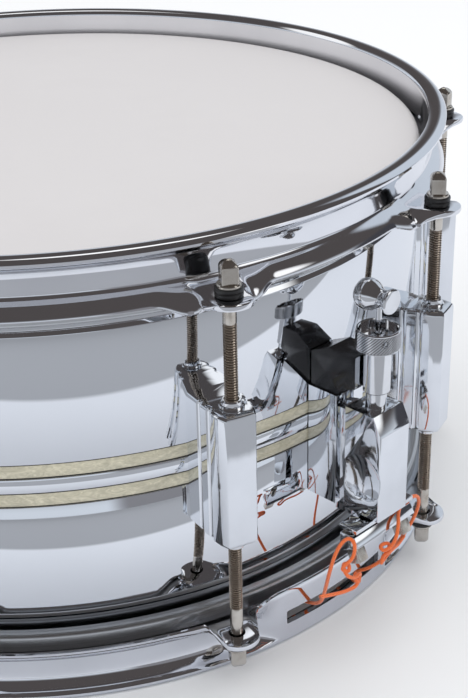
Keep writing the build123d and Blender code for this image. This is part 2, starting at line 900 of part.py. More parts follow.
# ---------------------------------------------------------------- butt end
def make_butt_body():
    outline = [
        (shell_radius - past, butt_bottom),
        (butt_outer, butt_bottom),
        (butt_outer, butt_top - butt_shoulder_drop),
        (shell_radius + butt_shoulder_reach, butt_top),
        (shell_radius - past, butt_top),
    ]
    body = side_profile(outline, butt_half)
    body = fillet(body.edges().filter_by(Axis.Z).sort_by(Axis.X)[-2:], butt_round)
    body = body - Cylinder(shell_radius + body_shell_gap, 3 * total_height)
    for rise in butt_screw_rises:
        body = body - screw_pit(butt_bottom + rise)
    for side in (-1, 1):
        body = body - butt_screw_hole(side, butt_outer - butt_clamp_bite - 1)
    return place(body, 180.0)


def butt_screw_hole(side, start):
    """A hole for a butt clamp screw, from a distance out to clear of the plate."""
    hole = clamp_screw_radius + clamp_screw_fit
    end = butt_outer + strap_thickness + butt_plate + past
    return outward_cylinder(hole, start, end, butt_clamp_z, side * butt_clamp_t)


def make_butt_plate():
    low = butt_bottom + butt_plate_low
    high = butt_top - butt_plate_high
    inner = butt_outer + strap_thickness
    plate = block(inner, inner + butt_plate, butt_half - butt_plate_inset, low, high)
    plate = fillet(plate.edges().filter_by(Axis.X), butt_plate_round)
    for side in (-1, 1):
        plate = plate - butt_screw_hole(side, butt_outer)
    return place(plate, 180.0)


def make_butt_screws():
    face = butt_outer + strap_thickness + butt_plate
    screws = []
    for side in (-1, 1):
        t = side * butt_clamp_t
        shank = outward_cylinder(clamp_screw_radius, butt_outer - butt_clamp_bite, face, butt_clamp_z, t)
        head = Pos(face + butt_screw_head / 2, t, butt_clamp_z) * Box(
            butt_screw_head, clamp_screw_square, clamp_screw_square
        )
        screws.append(place(shank + chamfer(head.edges(), clamp_screw_edge), 180.0))
    return group(screws)


def make_butt_strap():
    """Flat strap from the end plate, out through the rear gate and up under the butt plate."""
    under_plate = snare_z - wire_radius - end_plate - strap_thickness / 2
    line = [
        (wire_length / 2, 0, under_plate),
        (shell_radius - 8.0, 0, under_plate),
        (skirt_outer + 1.2, 0, gate_low + 2.2),
        (butt_outer + strap_thickness / 2, 0, butt_bottom - strap_bend),
        (butt_outer + strap_thickness / 2, 0, butt_bottom + strap_end),
    ]
    path = FilletPolyline(*line, radius=[8.0, 4.0, 8.0])
    start = Plane(origin=path @ 0, z_dir=path % 0, x_dir=(0, 1, 0))
    section = start * Rectangle(2 * strap_half, strap_thickness)
    return place(sweep(section, path=path), 180.0)


# ---------------------------------------------------------------- snares
def make_snare_wires():
    wires = []
    for number in range(wire_count):
        x = -wires_width / 2 + number * wire_pitch
        wires.append(Pos(x, 0, snare_z) * Rot(90, 0, 0) * Cylinder(wire_radius, wire_length))
    return group(wires)


def make_snare_end_plates():
    plates = []
    for side in (-1, 1):
        plate = Pos(0, side * end_plate_y, end_plate_z) * Box(
            2 * end_plate_half, end_plate_length, end_plate
        )
        plate = fillet(plate.edges().filter_by(Axis.Z), end_plate_round)
        hole_y = side * (end_plate_y + end_plate_length / 2 - cord_hole_inset)
        for t in (-cord_hole_t, cord_hole_t):
            plate = plate - Pos(t, hole_y, end_plate_z) * Cylinder(cord_hole_radius, past)
        plates.append(plate)
    return group(plates)


# ---------------------------------------------------------------- cords
# Each route starts in its end-plate hole, leaves through the front gate, rises to the clamp,
# runs sideways between block and plate, and hangs out of it as a loose tail.
cord_left_points = [
    (-13.0, -156.2, 10.2),
    (-13.1, -159.6, 6.2),
    (-13.3, -165.5, 5.8),
    (-14.0, -172.0, 7.0),
    (-15.0, -181.0, 10.6),
    (-16.5, -189.0, 14.0),
    (-20.0, -196.0, 21.0),
    (-24.5, -201.5, 32.0),
    (-27.5, -206.0, 43.5),
    (-27.5, -208.6, 53.5),
    (-23.5, -209.6, 59.25),
    (-15.5, -209.2, 59.25),
    (-8.0, -211.7, 59.25),
    (-4.5, -216.0, 56.2),
    (-5.5, -216.5, 48.0),
    (-9.5, -214.5, 40.5),
    (-17.0, -213.0, 37.5),
    (-26.0, -212.5, 38.6),
    (-33.5, -212.0, 40.5),
]
cord_right_points = [
    (13.0, -156.2, 10.2),
    (13.1, -159.6, 6.2),
    (13.3, -165.5, 5.8),
    (14.0, -172.0, 7.0),
    (15.0, -181.0, 10.6),
    (16.5, -189.0, 14.0),
    (20.0, -196.0, 21.0),
    (24.5, -201.5, 32.0),
    (27.5, -206.0, 43.5),
    (27.5, -208.6, 53.5),
    (23.5, -209.6, 59.25),
    (15.5, -209.2, 59.25),
    (8.5, -211.7, 59.25),
    (4.0, -216.0, 56.2),
    (2.0, -216.5, 48.0),
    (0.0, -215.0, 41.0),
    (3.0, -213.0, 36.5),
    (9.5, -211.5, 37.5),
    (15.0, -210.5, 40.5),
]


def corner_radii(points):
    """Arc radius for each inner corner: 0.45 of the shorter run over tan of half the turn."""
    radii = []
    for before, corner, after in zip(points, points[1:], points[2:]):
        run_in = Vector(*corner) - Vector(*before)
        run_out = Vector(*after) - Vector(*corner)
        half_turn = math.radians(run_in.get_angle(run_out)) / 2
        radii.append(0.45 * min(run_in.length, run_out.length) / math.tan(half_turn))
    return radii


def make_cord(points, name):
    radii = corner_radii(points)
    path = FilletPolyline(*points, radius=radii)
    start = Plane(origin=path @ 0, z_dir=path % 0)
    tube = sweep(start * Circle(cord_radius), path=path)
    expected = math.pi * cord_radius**2 * path.length
    print(name, "radii", [round(radius, 1) for radius in radii], "length", round(path.length, 1))
    print(name, "volume", round(tube.volume, 1), "section x length", round(expected, 1))
    return tube


# ---------------------------------------------------------------- write every node
save(make_shell(), "shell")
save(make_inlay_strips(), "inlay_strips")
save(make_vent_badge(), "vent_badge")
save(turned(film_outline()), "batter_head")
save(turned(flipped(film_outline())), "snare_side_head")
save(make_head_ring(head_ring_outline()), "batter_head_ring")
save(make_head_ring(flipped(head_ring_outline())), "snare_side_head_ring")
save(make_hoop(True), "batter_hoop")
save(make_hoop(False), "snare_side_hoop")
for number, angle in enumerate(lug_angles, start=1):
    save(make_lug(angle), f"lug_{number:02d}")
    save(make_rod(angle, True), f"upper_rod_{number:02d}")
    save(make_rod(angle, False), f"lower_rod_{number:02d}")
save(make_lug_gaskets(), "lug_gaskets")
save(make_swivel_nuts(), "swivel_nuts")
save(make_nylon_washers(), "nylon_washers")
save(make_mounting_screws(), "mounting_screws")
save(make_strainer_body(), "strainer_body")
save(make_strainer_sleeve(), "strainer_sleeve")
save(make_tension_knob(), "tension_knob")
save(make_throw_handle(), "throw_handle")
save(make_strainer_piston(), "strainer_piston")
save(make_clamp_block(), "snare_clamp_block")
save(make_clamp_plate(), "snare_clamp_plate")
save(make_clamp_screws(), "snare_clamp_screws")
save(make_butt_body(), "butt_body")
save(make_butt_plate(), "butt_plate")
save(make_butt_screws(), "butt_screws")
save(make_butt_strap(), "butt_strap")
save(make_snare_wires(), "snare_wires")
save(make_snare_end_plates(), "snare_end_plates")
save(make_cord(cord_left_points, "left cord"), "snare_cord_left")
save(make_cord(cord_right_points, "right cord"), "snare_cord_right")
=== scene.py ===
"""Looks of a chromed snare drum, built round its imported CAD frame."""

import math

import bmesh
import bpy
from mathutils import Matrix, Vector


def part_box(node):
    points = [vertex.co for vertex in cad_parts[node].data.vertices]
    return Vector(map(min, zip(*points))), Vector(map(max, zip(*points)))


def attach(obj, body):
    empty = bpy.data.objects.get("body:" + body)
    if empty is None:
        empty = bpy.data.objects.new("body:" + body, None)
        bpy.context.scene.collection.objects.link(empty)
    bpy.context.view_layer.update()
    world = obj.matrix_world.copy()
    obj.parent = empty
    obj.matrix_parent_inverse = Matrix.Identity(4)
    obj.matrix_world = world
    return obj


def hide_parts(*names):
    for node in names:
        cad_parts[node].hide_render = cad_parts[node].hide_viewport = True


bl_info = {
    "name": "Snare Drum",
    "version": (1, 0, 0),
    "blender": (4, 5, 0),
    "location": "View3D > Sidebar > Snare Drum",
    "description": "Builds the visible pieces of a chromed snare drum around its CAD frame",
    "category": "Object",
}

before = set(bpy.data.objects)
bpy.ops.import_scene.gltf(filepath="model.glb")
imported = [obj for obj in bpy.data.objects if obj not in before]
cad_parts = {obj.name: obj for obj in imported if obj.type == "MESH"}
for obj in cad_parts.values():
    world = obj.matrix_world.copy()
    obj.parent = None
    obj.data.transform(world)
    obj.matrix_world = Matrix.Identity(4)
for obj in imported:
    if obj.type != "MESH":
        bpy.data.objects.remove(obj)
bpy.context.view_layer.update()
MM = 0.001
LUG_COUNT = 10
LUG_STEP = 2 * math.pi / LUG_COUNT
FIRST_LUG = LUG_STEP / 2
UPPER_RODS = [f"upper_rod_{number:02d}" for number in range(1, LUG_COUNT + 1)]
LOWER_RODS = [f"lower_rod_{number:02d}" for number in range(1, LUG_COUNT + 1)]
LUGS = [f"lug_{number:02d}" for number in range(1, LUG_COUNT + 1)]

# Sizes that come from the frame, in millimetres.
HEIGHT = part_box("batter_hoop")[1].z / MM
SHELL_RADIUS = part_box("shell")[1].x / MM
SHELL_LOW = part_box("shell")[0].z / MM
SHELL_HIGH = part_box("shell")[1].z / MM
RING_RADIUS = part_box("batter_head_ring")[1].x / MM
ROD_CIRCLE = (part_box(UPPER_RODS[2])[0].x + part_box(UPPER_RODS[2])[1].x) / 2 / MM
LUG_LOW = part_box("lug_01")[0].z / MM
LUG_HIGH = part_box("lug_01")[1].z / MM
STRAINER_RADIUS = -(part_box("tension_knob")[0].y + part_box("tension_knob")[1].y) / 2 / MM
CORD_GATE_HALF = 30.0

MATERIALS = {}


# ---------------------------------------------------------------- settings
class DrumSizes(bpy.types.PropertyGroup):
    """Sizes of the details that are modelled here, in millimetres."""

    thread_pitch: bpy.props.FloatProperty(
        name="Thread pitch", description="Rise of the rod thread for each turn", default=1.06, min=0.5
    )
    thread_depth: bpy.props.FloatProperty(
        name="Thread depth", description="Depth of the rod thread", default=0.44, min=0.1
    )
    coil_pitch: bpy.props.FloatProperty(
        name="Snare coil pitch", description="Rise of a snare wire for each turn", default=2.1, min=1.0
    )
    coil_wire: bpy.props.FloatProperty(
        name="Snare wire", description="Radius of the wire that a snare is wound from", default=0.24, min=0.1
    )
    knurl_count: bpy.props.IntProperty(
        name="Knurl diamonds", description="Diamonds round the adjusting cup", default=42, min=12
    )
    ear_dip: bpy.props.FloatProperty(
        name="Ear wings", description="How far the skirt dips beside each ear", default=3.4, min=0.0
    )
    ring_steps: bpy.props.IntProperty(
        name="Round steps", description="Segments round the shell and the heads", default=288, min=48
    )


class DrumColours(bpy.types.PropertyGroup):
    """Colours a user would change."""

    pearl: bpy.props.FloatVectorProperty(
        name="Inlay pearl", description="Main colour of the inlay strips", subtype="COLOR",
        size=3, default=(0.55, 0.52, 0.40), min=0.0, max=1.0,
    )
    cord: bpy.props.FloatVectorProperty(
        name="Snare cord", description="Colour of the snare cords", subtype="COLOR",
        size=3, default=(0.90, 0.17, 0.03), min=0.0, max=1.0,
    )
    head: bpy.props.FloatVectorProperty(
        name="Head coating", description="Colour of the coated head", subtype="COLOR",
        size=3, default=(0.615, 0.60, 0.605), min=0.0, max=1.0,
    )
    floor: bpy.props.FloatVectorProperty(
        name="Floor", description="Colour of the studio floor", subtype="COLOR",
        size=3, default=(0.86, 0.87, 0.88), min=0.0, max=1.0,
    )


# ---------------------------------------------------------------- shader groups
def node(tree, kind, place=(0, 0), **settings):
    """Adds a node. Settings that name an input set its value."""
    made = tree.nodes.new(kind)
    made.location = place
    for key, value in settings.items():
        if key.startswith("in_"):
            made.inputs[int(key[3:])].default_value = value
        else:
            setattr(made, key, value)
    return made


def wire(tree, links):
    """Joins sockets, each link as from node, output, to node, input."""
    for one, output, other, given in links:
        tree.links.new(one.outputs[output], other.inputs[given])


def shader_group(name, inputs, outputs):
    tree = bpy.data.node_groups.new(name, "ShaderNodeTree")
    for label, default in inputs:
        socket = tree.interface.new_socket(name=label, in_out="INPUT", socket_type="NodeSocketFloat")
        socket.default_value = default
    for label in outputs:
        tree.interface.new_socket(name=label, in_out="OUTPUT", socket_type="NodeSocketFloat")
    return tree, tree.nodes.new("NodeGroupInput"), tree.nodes.new("NodeGroupOutput")


def polish_group():
    """Polishing haze: roughness between two values, and a very fine surface height."""
    tree, given, out = shader_group(
        "Polish", [("Scale", 60.0), ("Smooth", 0.04), ("Hazy", 0.12)], ["Roughness", "Height", "Mask"]
    )
    where = node(tree, "ShaderNodeTexCoord")
    cloud = node(tree, "ShaderNodeTexNoise")
    cloud.inputs["Detail"].default_value = 5.0
    fine = node(tree, "ShaderNodeTexNoise")
    fine.inputs["Scale"].default_value = 900.0
    haze = node(tree, "ShaderNodeMapRange")
    haze.inputs["From Min"].default_value = 0.38
    haze.inputs["From Max"].default_value = 0.72
    wire(tree, [
        (where, "Object", cloud, "Vector"), (where, "Object", fine, "Vector"),
        (given, "Scale", cloud, "Scale"), (cloud, "Fac", haze, "Value"), (given, "Smooth", haze, "To Min"),
        (given, "Hazy", haze, "To Max"), (haze, "Result", out, "Roughness"), (fine, "Fac", out, "Height"),
        (cloud, "Fac", out, "Mask"),
    ])
    return tree


def brushed_group():
    """Fine turning marks that run round the drum's own axis."""
    tree, given, out = shader_group(
        "Turned marks", [("Scale", 900.0), ("Smooth", 0.2), ("Hazy", 0.4)], ["Roughness", "Height", "Mask"]
    )
    where = node(tree, "ShaderNodeTexCoord")
    split = node(tree, "ShaderNodeSeparateXYZ")
    square_x = node(tree, "ShaderNodeMath", operation="MULTIPLY")
    square_y = node(tree, "ShaderNodeMath", operation="MULTIPLY")
    total = node(tree, "ShaderNodeMath", operation="ADD")
    radius = node(tree, "ShaderNodeMath", operation="SQRT")
    both = node(tree, "ShaderNodeCombineXYZ")
    marks = node(tree, "ShaderNodeTexNoise")
    marks.inputs["Detail"].default_value = 3.0
    haze = node(tree, "ShaderNodeMapRange")
    link = tree.links.new
    link(where.outputs["Object"], split.inputs["Vector"])
    for index, square in enumerate((square_x, square_y)):
        wire(tree, [
            (split, index, square, 0), (split, index, square, 1), (square, 0, total, index),
        ])
    wire(tree, [
        (total, 0, radius, 0), (radius, 0, both, "X"), (split, "Z", both, "Z"),
        (both, "Vector", marks, "Vector"), (given, "Scale", marks, "Scale"), (marks, "Fac", haze, "Value"),
        (given, "Smooth", haze, "To Min"), (given, "Hazy", haze, "To Max"),
        (haze, "Result", out, "Roughness"), (marks, "Fac", out, "Height"), (marks, "Fac", out, "Mask"),
    ])
    return tree


def weave_group():
    """Crossed strands of a braid, read from the UV map: u runs along, v runs round."""
    tree, given, out = shader_group("Braid", [("Along", 90.0), ("Round", 6.0)], ["Height", "Mask"])
    where = node(tree, "ShaderNodeTexCoord")
    split = node(tree, "ShaderNodeSeparateXYZ")
    along = node(tree, "ShaderNodeMath", operation="MULTIPLY")
    round_ = node(tree, "ShaderNodeMath", operation="MULTIPLY")
    plus = node(tree, "ShaderNodeMath", operation="ADD")
    minus = node(tree, "ShaderNodeMath", operation="SUBTRACT")
    waves = [node(tree, "ShaderNodeMath", operation="SINE") for _ in range(2)]
    rises = [node(tree, "ShaderNodeMath", operation="ABSOLUTE") for _ in range(2)]
    top = node(tree, "ShaderNodeMath", operation="MAXIMUM")
    link = tree.links.new
    wire(tree, [
        (where, "UV", split, "Vector"), (split, "X", along, 0), (given, "Along", along, 1),
        (split, "Y", round_, 0), (given, "Round", round_, 1),
    ])
    for joined, wave, rise, index in ((plus, waves[0], rises[0], 0), (minus, waves[1], rises[1], 1)):
        wire(tree, [
            (along, 0, joined, 0), (round_, 0, joined, 1), (joined, 0, wave, 0), (wave, 0, rise, 0),
            (rise, 0, top, index),
        ])
    link(top.outputs[0], out.inputs["Height"])
    link(top.outputs[0], out.inputs["Mask"])
    return tree


# ---------------------------------------------------------------- materials
def metal(name, groups, colour, shade, scale, smooth, hazy, bump, group="polish", mask_low=0.45,
    mask_high=0.75):
    """A plated or bare metal. The shade tints the hazier patches."""
    material = bpy.data.materials.new(name)
    material.use_nodes = True
    tree = material.node_tree
    shader = tree.nodes["Principled BSDF"]
    shader.inputs["Metallic"].default_value = 1.0
    surface = node(tree, "ShaderNodeGroup", (-700, 0), node_tree=groups[group])
    surface.inputs["Scale"].default_value = scale
    surface.inputs["Smooth"].default_value = smooth
    surface.inputs["Hazy"].default_value = hazy
    ramp = node(tree, "ShaderNodeValToRGB", (-450, 200))
    ramp.color_ramp.elements[0].position = mask_low
    ramp.color_ramp.elements[0].color = (*colour, 1)
    ramp.color_ramp.elements[1].position = mask_high
    ramp.color_ramp.elements[1].color = (*shade, 1)
    relief = node(tree, "ShaderNodeBump", (-300, -200))
    relief.inputs["Strength"].default_value = bump
    relief.inputs["Distance"].default_value = 0.0001
    wire(tree, [
        (surface, "Mask", ramp, "Fac"), (ramp, "Color", shader, "Base Color"),
        (surface, "Roughness", shader, "Roughness"), (surface, "Height", relief, "Height"),
        (relief, "Normal", shader, "Normal"),
    ])
    return material


def plain_stuff(name, groups, colour, shade, scale, smooth, hazy, bump, sheen=0.0, group="polish"):
    """A plastic, rubber or coated surface."""
    material = metal(name, groups, colour, shade, scale, smooth, hazy, bump, group)
    shader = material.node_tree.nodes["Principled BSDF"]
    shader.inputs["Metallic"].default_value = 0.0
    shader.inputs["Sheen Weight"].default_value = sheen
    return material


def knurl_painted_shade_material(name, groups):
    """Cut knurling on the adjusting cup, with painted shade: dark where the surface lies nearer the cup's
    axis, in the valleys between the diamonds.
    """
    material = metal(name, groups, (0.72, 0.73, 0.75), (0.66, 0.67, 0.69), 150.0, 0.14, 0.3, 0.05)
    tree = material.node_tree
    shader = tree.nodes["Principled BSDF"]
    ramp = shader.inputs["Base Color"].links[0].from_node
    where = node(tree, "ShaderNodeTexCoord", (-1200, 500))
    flat = node(tree, "ShaderNodeMapping", (-1000, 500))
    flat.inputs["Location"].default_value = (0.0, STRAINER_RADIUS * MM, 0.0)
    flat.inputs["Scale"].default_value = (1.0, 1.0, 0.0)
    reach = node(tree, "ShaderNodeVectorMath", (-800, 500), operation="LENGTH")
    # Painted shade in the knurl valleys: the colour falls to 6 % where the surface lies nearer the cup's
    # axis.
    depth = node(tree, "ShaderNodeMapRange", (-600, 500))
    depth.inputs["From Min"].default_value = 8.45 * MM
    depth.inputs["From Max"].default_value = 8.75 * MM
    depth.inputs["To Min"].default_value = 0.06
    shade = node(tree, "ShaderNodeMix", (-200, 400), data_type="RGBA", blend_type="MULTIPLY")
    shade.inputs["Factor"].default_value = 1.0
    wire(tree, [
        (where, "Object", flat, "Vector"), (flat, "Vector", reach, 0), (reach, "Value", depth, "Value"),
        (ramp, "Color", shade, 6), (depth, "Result", shade, 7), (shade, 2, shader, "Base Color"),
    ])
    return material


def pearl_material(name, colour):
    """Cream pearl: warped cloudy flakes under a clear gloss."""
    material = bpy.data.materials.new(name)
    material.use_nodes = True
    tree = material.node_tree
    shader = tree.nodes["Principled BSDF"]
    shader.inputs["Roughness"].default_value = 0.22
    shader.inputs["Coat Weight"].default_value = 0.5
    shader.inputs["Coat Roughness"].default_value = 0.08
    where = node(tree, "ShaderNodeTexCoord", (-1100, 0))
    stretch = node(tree, "ShaderNodeMapping", (-950, 0))
    stretch.inputs["Scale"].default_value = (1.0, 1.0, 2.4)
    warp = node(tree, "ShaderNodeTexNoise", (-780, 150))
    warp.inputs["Scale"].default_value = 55.0
    warp.inputs["Distortion"].default_value = 2.6
    warp.inputs["Detail"].default_value = 4.0
    flakes = node(tree, "ShaderNodeTexNoise", (-780, -150))
    flakes.inputs["Scale"].default_value = 150.0
    flakes.inputs["Distortion"].default_value = 4.0
    mixed = node(tree, "ShaderNodeMath", (-560, 0), operation="MULTIPLY")
    ramp = node(tree, "ShaderNodeValToRGB", (-380, 0))
    dark = [0.80 * channel for channel in colour]
    light = [min(1.0, 1.15 * channel + 0.04) for channel in colour]
    ramp.color_ramp.elements[0].position = 0.12
    ramp.color_ramp.elements[0].color = (*dark, 1)
    ramp.color_ramp.elements[1].position = 0.42
    ramp.color_ramp.elements[1].color = (*light, 1)
    middle = ramp.color_ramp.elements.new(0.27)
    middle.color = (*colour, 1)
    wire(tree, [
        (where, "Object", stretch, "Vector"), (stretch, "Vector", warp, "Vector"),
        (stretch, "Vector", flakes, "Vector"), (warp, "Fac", mixed, 0), (flakes, "Fac", mixed, 1),
        (mixed, 0, ramp, "Fac"), (ramp, "Color", shader, "Base Color"),
    ])
    return material


def braid_material(name, groups, colour, along, round_):
    """Braided or woven cord that follows the piece's own UV map, with painted shade between the strands."""
    material = bpy.data.materials.new(name)
    material.use_nodes = True
    tree = material.node_tree
    shader = tree.nodes["Principled BSDF"]
    shader.inputs["Roughness"].default_value = 0.55
    shader.inputs["Sheen Weight"].default_value = 0.3
    braid = node(tree, "ShaderNodeGroup", (-700, 0), node_tree=groups["braid"])
    braid.inputs["Along"].default_value = along
    braid.inputs["Round"].default_value = round_
    # Painted shade between the strands: the colour falls to 55 % where the braid lies low.
    ramp = node(tree, "ShaderNodeValToRGB", (-450, 150))
    ramp.color_ramp.elements[0].position = 0.45
    ramp.color_ramp.elements[0].color = (*[0.55 * channel for channel in colour], 1)
    ramp.color_ramp.elements[1].position = 0.85
    ramp.color_ramp.elements[1].color = (*colour, 1)
    relief = node(tree, "ShaderNodeBump", (-300, -200))
    relief.inputs["Strength"].default_value = 0.7
    relief.inputs["Distance"].default_value = 0.0002
    wire(tree, [
        (braid, "Mask", ramp, "Fac"), (ramp, "Color", shader, "Base Color"),
        (braid, "Height", relief, "Height"), (relief, "Normal", shader, "Normal"),
    ])
    return material


def clear_film_material(name, groups):
    """Thin clear film, a little hazy."""
    material = bpy.data.materials.new(name)
    material.use_nodes = True
    tree = material.node_tree
    shader = tree.nodes["Principled BSDF"]
    shader.inputs["Base Color"].default_value = (0.86, 0.88, 0.9, 1)
    shader.inputs["Alpha"].default_value = 0.32
    surface = node(tree, "ShaderNodeGroup", (-600, 0), node_tree=groups["polish"])
    surface.inputs["Scale"].default_value = 14.0
    surface.inputs["Smooth"].default_value = 0.08
    surface.inputs["Hazy"].default_value = 0.25
    tree.links.new(surface.outputs["Roughness"], shader.inputs["Roughness"])
    return material


def make_materials(colours):
    groups = {"polish": polish_group(), "turned": brushed_group(), "braid": weave_group()}
    chrome = (0.83, 0.85, 0.88)
    made = {
        "chrome_shell": metal("Mirror chrome", groups, chrome, (0.79, 0.81, 0.84), 6.0, 0.015, 0.05, 0.0),
        "chrome_hoop": metal("Hoop chrome", groups, (0.82, 0.83, 0.86), (0.76, 0.77, 0.80), 25.0, 0.03,
        0.09, 0.01),
        "chrome_cast": metal("Cast chrome", groups, (0.82, 0.84, 0.87), (0.75, 0.77, 0.80), 45.0, 0.03,
        0.10, 0.02),
        "chrome_turned": metal("Turned chrome", groups, (0.80, 0.81, 0.83), (0.70, 0.71, 0.73), 90.0,
        0.04, 0.14, 0.02),
        "knurled": knurl_painted_shade_material("Knurl", groups),
        "nickel": metal("Nickel", groups, (0.63, 0.59, 0.53), (0.45, 0.40, 0.34), 160.0, 0.14, 0.30, 0.05),
        "thread": metal("Thread", groups, (0.55, 0.47, 0.39), (0.40, 0.33, 0.27), 120.0, 0.22, 0.36, 0.0),
        # Near-black core colour seen between the thread coils: painted shade in the thread roots.
        "groove": metal("Thread root painted shade", groups, (0.10, 0.08, 0.06), (0.05, 0.04, 0.03), 240.0, 0.4, 0.6,
        0.05),
        "screw_steel": metal("Screw steel", groups, (0.5, 0.5, 0.51), (0.36, 0.36, 0.36), 200.0, 0.2,
        0.4, 0.08),
        "snare_steel": metal("Snare steel", groups, (0.62, 0.62, 0.62), (0.45, 0.45, 0.45), 200.0, 0.2,
        0.35, 0.05),
        "head_aluminium": metal(
            "Head channel", groups, (0.56, 0.57, 0.58), (0.42, 0.43, 0.44), 1400.0, 0.24, 0.42, 0.1, "turned"
        ),
        "badge_metal": metal("Badge", groups, (0.62, 0.60, 0.56), (0.48, 0.46, 0.42), 120.0, 0.2, 0.36, 0.05),
        "coated_head": plain_stuff(
            "Head coating", groups, colours.head, [0.94 * c for c in colours.head], 9.0, 0.62, 0.8, 0.5
        ),
        "gasket_black": plain_stuff("Gasket", groups, (0.02, 0.02, 0.02), (0.04, 0.04, 0.04), 200.0, 0.5,
        0.7, 0.2),
        "nylon_black": plain_stuff("Nylon", groups, (0.012, 0.012, 0.013), (0.03, 0.03, 0.03), 150.0,
        0.3, 0.5, 0.15),
        "bracket_black": plain_stuff(
            "Black bracket", groups, (0.008, 0.008, 0.009), (0.02, 0.02, 0.022), 60.0, 0.08, 0.2, 0.02
        ),
        "pearl_inlay": pearl_material("Inlay pearl", colours.pearl),
        "cord_orange": braid_material("Snare cord", groups, colours.cord, 420.0, 3 * 2 * math.pi),
        "strap_nylon": plain_stuff(
            "Strap", groups, (0.03, 0.03, 0.032), (0.06, 0.06, 0.06), 700.0, 0.6, 0.85, 0.8, 0.2
        ),
        "clear_head": clear_film_material("Clear film", groups),
    }
    MATERIALS.update(made)


# ---------------------------------------------------------------- mesh helpers
def metres(points):
    return [Vector(point) * MM for point in points]


def lathe(bm, outline, steps, closed=False):
    """Turns (radius, z) points about Z. A point on the axis becomes one pole."""
    rings = []
    for radius, z in outline:
        if radius < 1e-6:
            rings.append([bm.verts.new((0, 0, z * MM))])
            continue
        ring = []
        for step in range(steps):
            angle = 2 * math.pi * step / steps
            ring.append(bm.verts.new((radius * MM * math.cos(angle), radius * MM * math.sin(angle), z * MM)))
        rings.append(ring)
    pairs = list(zip(rings, rings[1:]))
    if closed:
        pairs.append((rings[-1], rings[0]))
    for low, high in pairs:
        for step in range(steps):
            after = (step + 1) % steps
            if len(low) == 1 and len(high) == 1:
                continue
            if len(low) == 1:
                bm.faces.new((low[0], high[step], high[after]))
            elif len(high) == 1:
                bm.faces.new((low[step], high[0], low[after]))
            else:
                bm.faces.new((low[step], high[step], high[after], low[after]))


def loft(bm, loops, closed_along=True, caps=False):
    """Joins loops of points, each loop closed on itself."""
    rows = [[bm.verts.new(point) for point in loop] for loop in loops]
    pairs = list(zip(rows, rows[1:]))
    if closed_along:
        pairs.append((rows[-1], rows[0]))
    for one, other in pairs:
        for index in range(len(one)):
            after = (index + 1) % len(one)
            bm.faces.new((one[index], one[after], other[after], other[index]))
    if caps:
        bm.faces.new(rows[0])
        bm.faces.new(reversed(rows[-1]))


def absorb(bm, other):
    """Adds a bmesh to another one, and frees it."""
    spare = bpy.data.meshes.new("spare")
    other.to_mesh(spare)
    other.free()
    bm.from_mesh(spare)
    bpy.data.meshes.remove(spare)


def new_piece(name, bm, material, sharp=32.0):
    """Makes an object from a bmesh, smooth but for its sharp edges."""
    bmesh.ops.recalc_face_normals(bm, faces=bm.faces)
    mesh = bpy.data.meshes.new(name)
    bm.to_mesh(mesh)
    bm.free()
    return piece_from_mesh(name, mesh, material, sharp)


def piece_from_mesh(name, mesh, material, sharp=32.0):
    for face in mesh.polygons:
        face.use_smooth = True
    mesh.set_sharp_from_angle(angle=math.radians(sharp))
    if material and not mesh.materials:
        mesh.materials.append(MATERIALS[material])
    made = bpy.data.objects.new(name, mesh)
    bpy.context.scene.collection.objects.link(made)
    return made


def settle(piece, body, nodes):
    """Puts a finished piece on its body, in place of its CAD nodes."""
    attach(piece, body)
    if nodes:
        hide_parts(*nodes)
    return piece


def evaluated_mesh(made):
    """The plain mesh that an object's modifiers give."""
    bpy.context.view_layer.update()
    graph = bpy.context.evaluated_depsgraph_get()
    return bpy.data.meshes.new_from_object(made.evaluated_get(graph))


def bake_modifiers(made, sharp=32.0):
    """Replaces an object's mesh by what its modifiers give, and removes them."""
    mesh = evaluated_mesh(made)
    old = made.data
    made.modifiers.clear()
    made.data = mesh
    bpy.data.meshes.remove(old)
    for face in mesh.polygons:
        face.use_smooth = True
    mesh.set_sharp_from_angle(angle=math.radians(sharp))
    return made


def cut(made, cutter_bm):
    """Cuts a closed bmesh out of an object."""
    mesh = bpy.data.meshes.new("cutter")
    bmesh.ops.recalc_face_normals(cutter_bm, faces=cutter_bm.faces)
    cutter_bm.to_mesh(mesh)
    cutter_bm.free()
    cutter = bpy.data.objects.new("cutter", mesh)
    bpy.context.scene.collection.objects.link(cutter)
    modifier = made.modifiers.new("Cut", "BOOLEAN")
    modifier.operation = "DIFFERENCE"
    modifier.solver = "EXACT"
    modifier.object = cutter
    bake_modifiers(made)
    bpy.data.objects.remove(cutter)
    bpy.data.meshes.remove(mesh)


def softened(name, node_name, body, slot, width=0.35, sharp=30.0, material=None):
    """A CAD node's own shape, merged and given small rounded edges."""
    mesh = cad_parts[node_name].data.copy()
    bm = bmesh.new()
    bm.from_mesh(mesh)
    bpy.data.meshes.remove(mesh)
    bmesh.ops.remove_doubles(bm, verts=bm.verts, dist=1e-6)
    bmesh.ops.dissolve_limit(
        bm, angle_limit=math.radians(0.6), verts=bm.verts, edges=bm.edges, delimit=set()
    )
    clean = bpy.data.meshes.new(name)
    bm.to_mesh(clean)
    bm.free()
    clean.materials.clear()
    piece = piece_from_mesh(name, clean, material or slot, sharp)
    if width:
        bevel = piece.modifiers.new("Edges", "BEVEL")
        bevel.width = width * MM
        bevel.segments = 2
        bevel.limit_method = "ANGLE"
        bevel.angle_limit = math.radians(sharp)
        bevel.use_clamp_overlap = True
        bevel.harden_normals = False
        bake_modifiers(piece, sharp)
    return settle(piece, body, [node_name])


def at_angle(angle):
    """Turns what was modelled facing -Y so that it faces another way."""
    return Matrix.Rotation(angle, 4, "Z")


